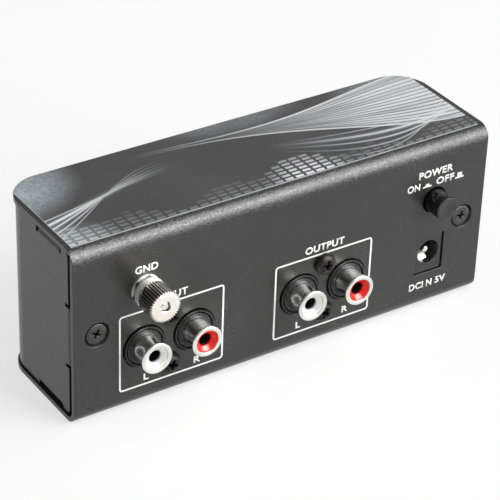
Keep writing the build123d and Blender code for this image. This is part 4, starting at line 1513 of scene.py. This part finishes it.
    def build(
        self, plate: Material, nut_plate: Material, washer_plate: Material, nut_steel: Material
    ) -> None:
        """Make the terminal's pieces.

        Args:
            plate: Finish of the stud.
            nut_plate: Finish of the thumb nut.
            washer_plate: Finish of the washers.
            nut_steel: Finish of the hex nut.
        """
        register(self.threaded_stud(), plate, Body.CASE, Slot.NICKEL, "ground_stud")
        for node, body, radius, back in self.washers:
            washer = self.washer(f"{node}_rolled", radius, back)
            register(washer, washer_plate, body, Slot.NICKEL, node)
        register(self.hex_nut(), nut_steel, Body.CASE, Slot.NICKEL, "ground_hex_nut")
        register(self.thumb_nut(), nut_plate, Body.THUMB_NUT, Slot.NICKEL, "ground_thumb_nut")


@dataclass(frozen=True)
class PowerButton:
    """Round black push-button cap with a dished face and a socket for the switch."""

    centre: Place = (44.2, 32.0)
    radius: float = 3.25
    rear: float = -0.75
    front: float = 5.65
    round_edge: float = 0.45
    dish: float = 0.28
    socket_radius: float = 2.08
    socket_depth: float = 4.4

    def build(self, plastic: Material) -> None:
        """Make the cap.

        Args:
            plastic: Its finish.
        """
        radius, rear, front, edge, dish = self.radius, self.rear, self.front, self.round_edge, self.dish
        flat = radius - edge
        socket = [(self.socket_radius, rear + self.socket_depth), (self.socket_radius, rear)]
        side = [(radius - 0.08, rear), (radius, rear + 0.08), (radius, front - edge)]
        rim = [(radius - edge * 0.29, front - edge * 0.29), (flat, front), (flat * 0.86, front - dish * 0.35)]
        face = [(flat * 0.62, front - dish * 0.68), (flat * 0.34, front - dish * 0.92), (0.25, front - dish)]
        piece = turn("power_button_cap", self.centre, [*socket, *side, *rim, *face], closed=False)
        soften(piece, 0.12, 3, 60)
        shade(piece, 40)
        register(piece, plastic, Body.BUTTON, Slot.BUTTON_CAP, "power_button")


@dataclass(frozen=True)
class InletContacts:
    """The DC inlet's centre pin and its bowed side spring."""

    centre: Place = (43.68, 16.62)
    pin: float = 1.0
    pin_front: float = -1.05
    pin_rear: float = -8.6
    tail: float = 0.6
    tail_end: float = -13.0
    spring_width: float = 2.55
    spring_thick: float = 0.28
    slot_z: float = 12.92
    # Proud height and rise of the spring's line, from its rear end.
    spring_line: tuple[Place, ...] = (
        *((-8.55, 0.10), (-7.4, 0.25), (-6.2, 0.75), (-5.2, 1.20), (-4.3, 1.42)),
        *((-3.5, 1.32), (-2.8, 0.95), (-2.2, 0.42), (-1.9, 0.05)),
    )

    def centre_pin(self) -> Piece:
        """Turn the pin with its domed tip.

        Returns:
            The pin.
        """
        pin, front = self.pin, self.pin_front
        foot = [(0.25, self.tail_end), (self.tail, self.tail_end + 0.2), (self.tail, self.pin_rear)]
        side = [(pin, self.pin_rear), (pin, front - 0.75), (pin - 0.07, front - 0.42)]
        tip = [(pin - 0.26, front - 0.17), (pin - 0.58, front - 0.03), (0.2, front)]
        piece = turn("inlet_pin_domed", self.centre, [*foot, *side, *tip], 56, closed=False)
        shade(piece, 40)
        return piece

    def side_spring(self) -> Piece:
        """Form the strip that bows up into the bore.

        Returns:
            The spring.
        """
        x, _ = self.centre
        half, crest = self.spring_width / 2, self.slot_z + 0.6
        (proud, rise), *others = self.spring_line
        start_y = PANEL_Y - proud
        first_strip = 0.1
        piece = rectangle(
            "inlet_side_spring", Vector((x, start_y, self.slot_z + rise)), self.spring_width, first_strip
        )
        with editing(piece, "EDGE"):
            select_points(piece, lambda p: p[1] < start_y - first_strip / 2 + NEAR)
            bpy.ops.mesh.select_mode(type="EDGE")
            for next_proud, next_rise in others:
                push_edges(0, proud - next_proud, next_rise - rise)
                proud, rise = next_proud, next_rise
            bpy.ops.mesh.select_all(action="SELECT")
            bpy.ops.mesh.subdivide(number_cuts=3, smoothness=0.6)
            for low, high, lift in ((0.0, 0.34, 0.14), (0.34, 0.75, 0.09)):
                select_points(piece, lambda p: low <= abs(p[0] - x) / half < high and p[2] > crest)
                bpy.ops.transform.translate(value=(0, 0, lift * MM))
        modify(piece, "SOLIDIFY", thickness=self.spring_thick * MM, offset=-1.0)
        clean_normals(piece)
        soften(piece, 0.05, 2, 50)
        shade(piece, 50)
        return piece

    def build(self, plate: Material, tin: Material) -> None:
        """Make the pin, in plate, and the spring, in tin."""
        register(self.centre_pin(), plate, Body.CASE, Slot.NICKEL, "inlet_pin")
        register(self.side_spring(), tin, Body.CASE, Slot.TINNED_METAL, "inlet_leaf")


@dataclass(frozen=True)
class PanelPrint:
    """White frames, legends and switch marks printed on the panel.

    A box gives the low x, low z, high x and high z of what it holds.
    """

    ink_height: float = 0.03
    line: float = 0.46
    corner: float = 0.95
    letter_weight: float = 0.030
    frames: tuple[Box, ...] = ((-47.8, 5.5, -18.5, 27.15), (-3.8, 5.35, 25.25, 26.9))
    legends: tuple[tuple[str, Box], ...] = (
        ("GND", (-43.45, 37.6, -37.2, 39.65)),
        ("INPUT", (-37.3, 27.8, -28.9, 29.85)),
        ("OUTPUT", (4.9, 27.65, 16.6, 29.7)),
        ("POWER", (38.65, 39.1, 49.35, 41.2)),
        ("ON", (35.3, 36.1, 39.25, 38.1)),
        ("OFF", (44.25, 36.25, 49.9, 38.3)),
        ("L", (-41.05, 6.85, -39.6, 8.7)),
        ("R", (-26.9, 6.85, -25.0, 8.7)),
        ("L", (3.0, 6.75, 4.4, 8.6)),
        ("R", (17.0, 6.85, 18.85, 8.7)),
        ("DCI", (38.25, 6.0, 42.75, 8.05)),
        ("N", (43.75, 6.0, 45.5, 8.05)),
        ("5V", (46.55, 6.0, 49.9, 8.05)),
    )
    # Left end and underside of each mark's base line, its block's rise, and the share of width at its top.
    marks: tuple[tuple[float, ...], ...] = ((40.15, 36.35, 0.62, 0.62), (50.3, 36.25, 1.2, 1.0))
    mark_base: Place = (2.7, 0.42)
    mark_block: Place = (0.62, 2.08)

    def raise_ink(self) -> None:
        """Give the selected faces the ink's thickness."""
        push_region(0, -self.ink_height, 0)

    def frame(self, box: Box) -> Piece:
        """Outline one socket pair with a round-cornered line.

        Args:
            box: The outline's outer box.

        Returns:
            The line.
        """
        low_x, low_z, high_x, high_z = box
        middle = Vector(((low_x + high_x) / 2, PANEL_Y, (low_z + high_z) / 2))
        piece = rectangle("frame", middle, high_x - low_x, high_z - low_z, math.pi / 2)
        with editing(piece, "VERT"):
            bpy.ops.mesh.bevel(offset=self.corner * MM, segments=8, affect="VERTICES")
            bpy.ops.mesh.select_mode(type="FACE")
            bpy.ops.mesh.select_all(action="SELECT")
            bpy.ops.mesh.inset(thickness=self.line * MM, depth=0.0)
            bpy.ops.mesh.delete(type="FACE")
            bpy.ops.mesh.select_all(action="SELECT")
            self.raise_ink()
        return piece

    def legend(self, text: str, box: Box) -> Piece:
        """Set one word in a box on the panel.

        Args:
            text: The word.
            box: The box that its letters fill.

        Returns:
            The word as a mesh.
        """
        low_x, low_z, high_x, high_z = box
        deselect()
        bpy.ops.object.text_add(location=(0, 0, 0))
        letters = bpy.context.object.data
        letters.body = text
        letters.offset = self.letter_weight
        letters.space_character = 1.06
        letters.resolution_u = 6
        bpy.ops.object.convert(target="MESH")
        piece = bpy.context.object
        xs, ys = ([point.co[axis] for point in piece.data.vertices] for axis in (0, 1))
        wide = (high_x - low_x) * MM / (max(xs) - min(xs))
        tall = (high_z - low_z) * MM / (max(ys) - min(ys))
        piece.rotation_euler = (math.pi / 2, 0, 0)
        piece.location = (low_x * MM - min(xs) * wide, PANEL_Y * MM, low_z * MM - min(ys) * tall)
        added("legend", wide, tall)
        with editing(piece):
            bpy.ops.mesh.remove_doubles(threshold=MERGE_DISTANCE)
            self.raise_ink()
        return piece

    def switch_mark(self, low_x: float, base_z: float, rise: float, narrow: float) -> Piece:
        """Draw the side view of a button: a base line with a block on it.

        Args:
            low_x: Left end of the base line.
            base_z: Underside of the base line.
            rise: Height of the block over the base line.
            narrow: Width of the block's top, as a share of its foot.

        Returns:
            The mark.
        """
        length, height = self.mark_base
        top_z, mid_x = base_z + height, low_x + length / 2
        block = [low_x + side for side in self.mark_block]
        piece = rectangle("mark", Vector((mid_x, PANEL_Y, base_z + height / 2)), length, height, math.pi / 2)
        with editing(piece, "VERT"):
            for cut_x in block:
                bpy.ops.mesh.select_all(action="SELECT")
                spot = Vector((cut_x, PANEL_Y, base_z)) * MM
                bpy.ops.mesh.bisect(plane_co=spot, plane_no=(1, 0, 0), threshold=MERGE_DISTANCE)
            select_points(piece, lambda p: p[2] > top_z - NEAR and block[0] - NEAR < p[0] < block[1] + NEAR)
            bpy.ops.mesh.select_mode(type="EDGE")
            push_edges(0, 0, rise)
            top = Vector((mid_x, PANEL_Y, top_z + rise)) * MM
            bpy.ops.transform.resize(value=(narrow, 1, 1), center_override=top)
            bpy.ops.mesh.select_mode(type="FACE")
            bpy.ops.mesh.select_all(action="SELECT")
            bpy.ops.mesh.remove_doubles(threshold=MERGE_DISTANCE)
            self.raise_ink()
        return piece

    def build(self, ink: Material) -> None:
        """Print everything on the panel.

        Args:
            ink: The ink's finish.
        """
        outlines = [self.frame(box) for box in self.frames]
        words = [self.legend(text, box) for text, box in self.legends]
        marks = [self.switch_mark(*sizes) for sizes in self.marks]
        for name, (first, *others) in (("panel_frame_lines", outlines), ("panel_legends", words + marks)):
            piece = merge_into(first, others)
            piece.name = piece.data.name = name
            clean_normals(piece)
            register(piece, ink, Body.CASE)


@dataclass(frozen=True)
class CarriedNodes:
    """CAD nodes that keep their shape and get a finish."""

    finishes: dict[str, tuple[str, ...]] = field(
        default_factory=lambda: {
            "case_paint": ("cover_shell", "end_shell"),
            "label_print": ("top_label",),
            "black_moulding": ("input_socket_block", "output_socket_block", "switch_body"),
            "inlet_moulding": ("inlet_body",),
            "chip": ("amplifier_chip", "supply_diode"),
            "board": ("circuit_board",),
            "contact_brass": ("socket_centre_contacts",),
            "tinned_metal": ("ground_lug", "switch_pins"),
            "wire_sheath": ("ground_wire",),
            "switch_slider": ("switch_plunger",),
            "spring_steel": ("switch_spring",),
            "film_epoxy": ("film_capacitors",),
            "can_sleeve": ("electrolytic_cans",),
            "resistor_coat": ("resistors",),
        }
    )

    def build(self, nodes: dict[str, Piece], materials: dict[str, Material]) -> None:
        """Put each finish on its nodes.

        Args:
            nodes: The CAD nodes by name.
            materials: The finishes by name.
        """
        for finish, names in self.finishes.items():
            for name in names:
                for slot in nodes[name].material_slots:
                    slot.material = materials[finish]
                log.info("%s: %s", name, materials[finish].name)


# --------------------------------------------------------------- the studio
@dataclass(frozen=True)
class Studio:
    """Camera, pale floor and soft light. Places are in metres and angles in degrees."""

    lens: float = 158.977
    camera_place: tuple[float, float, float] = (-0.263318, -0.390100, 0.315399)
    azimuth: float = -34.071
    elevation: float = 32.002
    roll: float = 2.067
    floor_size: float = 8.0
    floor_plain: float = 0.86
    floor_seen: float = 0.50
    floor_lift: float = 0.575
    ambient: float = 0.50
    key_direction: tuple[float, float, float] = (0.475, -0.655, 0.48)
    key_distance: float = 1.2
    key_size: tuple[float, float] = (0.9, 1.38)
    key_level: float = 3.0
    gloss_level: float = 46.0

    def camera(self) -> None:
        """Place the camera."""
        azimuth, elevation, roll = (math.radians(a) for a in (self.azimuth, self.elevation, self.roll))
        level = math.cos(elevation)
        back = Vector((math.sin(azimuth) * level, -math.cos(azimuth) * level, math.sin(elevation)))
        right = (-back).cross(Vector((0, 0, 1))).normalized()
        up = right.cross(-back)
        side = math.cos(roll) * right + math.sin(roll) * up
        top = -math.sin(roll) * right + math.cos(roll) * up
        data = bpy.data.cameras.new("studio_camera")
        data.lens, data.sensor_width = self.lens, 36.0
        data.clip_start, data.clip_end = 0.01, 50.0
        camera = bpy.data.objects.new("studio_camera", data)
        bpy.context.scene.collection.objects.link(camera)
        turned = Matrix((side, top, back)).transposed().to_4x4()
        camera.matrix_world = Matrix.Translation(Vector(self.camera_place)) @ turned
        bpy.context.scene.camera = camera

    def floor(self) -> None:
        """Lay the pale floor, lifted to white where the camera or gloss sees it."""
        deselect()
        bpy.ops.mesh.primitive_plane_add(size=self.floor_size, location=(0, 0, 0))
        floor = bpy.context.object
        floor.name = "studio_floor"
        material = bpy.data.materials.new("pale_floor")
        material.use_nodes = True
        material.node_tree.nodes.clear()
        graph = Graph(material.node_tree)
        rays = graph.node("ShaderNodeLightPath").outputs
        to_camera = rays["Is Camera Ray"]
        levels = (self.floor_plain, self.floor_seen)
        plain, seen = (graph.result("ShaderNodeBsdfDiffuse", grey(level)) for level in levels)
        x, y, _ = graph.split(graph.place())
        gloss_lift = graph.fade(graph.reach(x, y), 0.12, 0.40, 0.54, 0.05)
        lift = graph.node("ShaderNodeEmission")
        graph.feed(lift.inputs["Strength"], graph.between(to_camera, gloss_lift, self.floor_lift))
        bright = graph.result("ShaderNodeAddShader", seen, lift.outputs[0])
        shown = graph.most(graph.most(to_camera, rays["Is Glossy Ray"]), rays["Is Transmission Ray"])
        choice = graph.result("ShaderNodeMixShader", shown, plain, bright)
        graph.feed(graph.node("ShaderNodeOutputMaterial").inputs["Surface"], choice)
        floor.data.materials.append(material)

    def world(self) -> None:
        """Light the surroundings evenly; show them white to the camera and to gloss."""
        world = bpy.data.worlds.new("studio_world")
        bpy.context.scene.world = world
        world.use_nodes = True
        world.node_tree.nodes.clear()
        graph = Graph(world.node_tree)
        rays = graph.node("ShaderNodeLightPath").outputs
        _, y, z = graph.split(graph.node("ShaderNodeTexCoord").outputs["Generated"])
        backdrop = graph.times(graph.fade(z, 0.60, 0.15), graph.fade(y, -0.35, 0.15))
        shown = graph.most(rays["Is Glossy Ray"], rays["Is Transmission Ray"])
        level = graph.between(shown, self.ambient, graph.between(backdrop, 0.38, 1.0))
        strength = graph.between(rays["Is Camera Ray"], level, 1.0)
        around = graph.result("ShaderNodeBackground", grey(1.0), strength)
        graph.feed(graph.node("ShaderNodeOutputWorld").inputs["Surface"], around)

    def softbox(self, name: str, level: float) -> Piece:
        """Hang a softbox of a given brightness.

        Args:
            name: The lamp's name.
            level: Brightness of its face, where 1 is white.

        Returns:
            The lamp.
        """
        direction = Vector(self.key_direction).normalized()
        data = bpy.data.lights.new(name, "AREA")
        data.shape = "RECTANGLE"
        data.size, data.size_y = self.key_size
        data.energy = level * math.pi * data.size * data.size_y
        lamp = bpy.data.objects.new(name, data)
        bpy.context.scene.collection.objects.link(lamp)
        lamp.location = direction * self.key_distance
        lamp.rotation_mode = "QUATERNION"
        lamp.rotation_quaternion = direction.to_track_quat("Z", "Y")
        return lamp

    def build(self) -> None:
        """Set up the whole studio: a key softbox, and a brighter one that only gloss shows."""
        self.camera()
        self.floor()
        self.world()
        self.softbox("key_softbox", self.key_level)
        self.softbox("sheen_softbox", self.gloss_level).visible_diffuse = False
        bpy.context.scene.view_settings.view_transform = "Standard"


def make_finishes() -> dict[str, Material]:
    """Build every finish once.

    Returns:
        The materials by name.
    """
    # Painted shade: the inserts darken down their bores.
    insert = {"grain_depth": 0.000002, "painted_shade_from": PANEL_Y - 5.2, "painted_shade_to": PANEL_Y - 4.2}
    face_y = PANEL_Y - PowerButton.front
    # Painted shade: the cap's side behind its face is near black. Its pale rim is partly rubbed wear and
    # partly a painted highlight.
    button = {"painted_shade_from": face_y + 0.22, "painted_shade_to": face_y + 0.42, "painted_shade": grey(0.003), "edge": grey(0.30)}
    black_recess = {"recesses": PanHeadScrews.places, "recess_radius": 1.76, "recess_y": PANEL_Y - 1.74}
    case_recess = {"recesses": CaseScrews.places, "recess_radius": 1.6, "recess_y": PANEL_Y + 0.43}
    black, rubbed = (0.010, 0.008, 0.007), (0.14, 0.12, 0.11)
    dark, bare = (0.040, 0.039, 0.038), (0.30, 0.29, 0.28)
    finishes = {
        "case_paint": PowderCoat(),
        "label_print": LabelPrint(),
        "ink": WhiteInk(),
        "nickel": Plating(),
        "barrel_plate": Plating("barrel_nickel_plate", (0.82, 0.825, 0.775), (0.60, 0.60, 0.55), 0.13),
        "nut_plate": KnurledPlating(),
        "nut_steel": Plating("dark_nut_steel", (0.26, 0.25, 0.24), (0.12, 0.115, 0.11), 0.2),
        "washer_plate": Plating("satin_washer_plate", (0.82, 0.825, 0.78), (0.62, 0.62, 0.57), 0.28),
        "black_screw": BlackenedSteel("blackened_steel", black, rubbed, 0.0, 0.22, **black_recess),
        "case_screw": BlackenedSteel("case_screw_steel", dark, bare, 0.25, 0.5, **case_recess),
        "black_moulding": Moulding(
            "black_moulding", (0.009, 0.009, 0.0095), 0.26, edge=grey(0.04), sheen=0.4
        ),
        "inlet_moulding": Moulding("inlet_moulding", grey(0.020), 0.2, edge=grey(0.05)),
        "button_cap": Moulding("button_plastic", grey(0.024), 0.14, 0.000004, **button),
        "white_insert": Moulding("white_insert_plastic", (0.80, 0.80, 0.775), 0.22, **insert),
        "red_insert": Moulding("red_insert_plastic", (0.70, 0.013, 0.008), 0.24, sheen=0.30, **insert),
        "contact_brass": Plating("plated_brass", (0.70, 0.52, 0.24), (0.45, 0.30, 0.12), 0.25),
        "tinned_metal": Plating("tinned_metal", (0.56, 0.56, 0.54), (0.40, 0.40, 0.38), 0.46),
        "spring_steel": Plating("spring_steel", (0.56, 0.56, 0.55), (0.36, 0.35, 0.33), 0.26),
        "wire_sheath": Moulding("wire_sheath", (0.05, 0.24, 0.07), 0.5),
        "switch_slider": Moulding("switch_slider", (0.70, 0.67, 0.58), 0.4),
        "film_epoxy": Moulding("film_epoxy", (0.42, 0.09, 0.04), 0.28, edge=(0.5, 0.2, 0.14)),
        "board": BoardMask(),
        "chip": ChipPackage(),
        "resistor_coat": RingedCoat(),
        "can_sleeve": CanSleeve(),
    }
    return {name: finish.make() for name, finish in finishes.items()}


def main() -> None:
    """Build the looks in order."""
    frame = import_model()
    logging.basicConfig(level=logging.INFO, format="%(name)s: %(message)s")
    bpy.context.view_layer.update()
    Studio().build()
    finish = make_finishes()
    CarriedNodes().build(frame["nodes"], finish)
    PanelPrint().build(finish["ink"])
    SocketBarrels().build(finish["barrel_plate"], finish["white_insert"], finish["red_insert"])
    PanHeadScrews().build(finish["black_screw"])
    CaseScrews().build(finish["case_screw"])
    GroundTerminal().build(finish["nickel"], finish["nut_plate"], finish["washer_plate"], finish["nut_steel"])
    PowerButton().build(finish["button_cap"])
    InletContacts().build(finish["nickel"], finish["tinned_metal"])


if __name__ == "__main__":
    main()
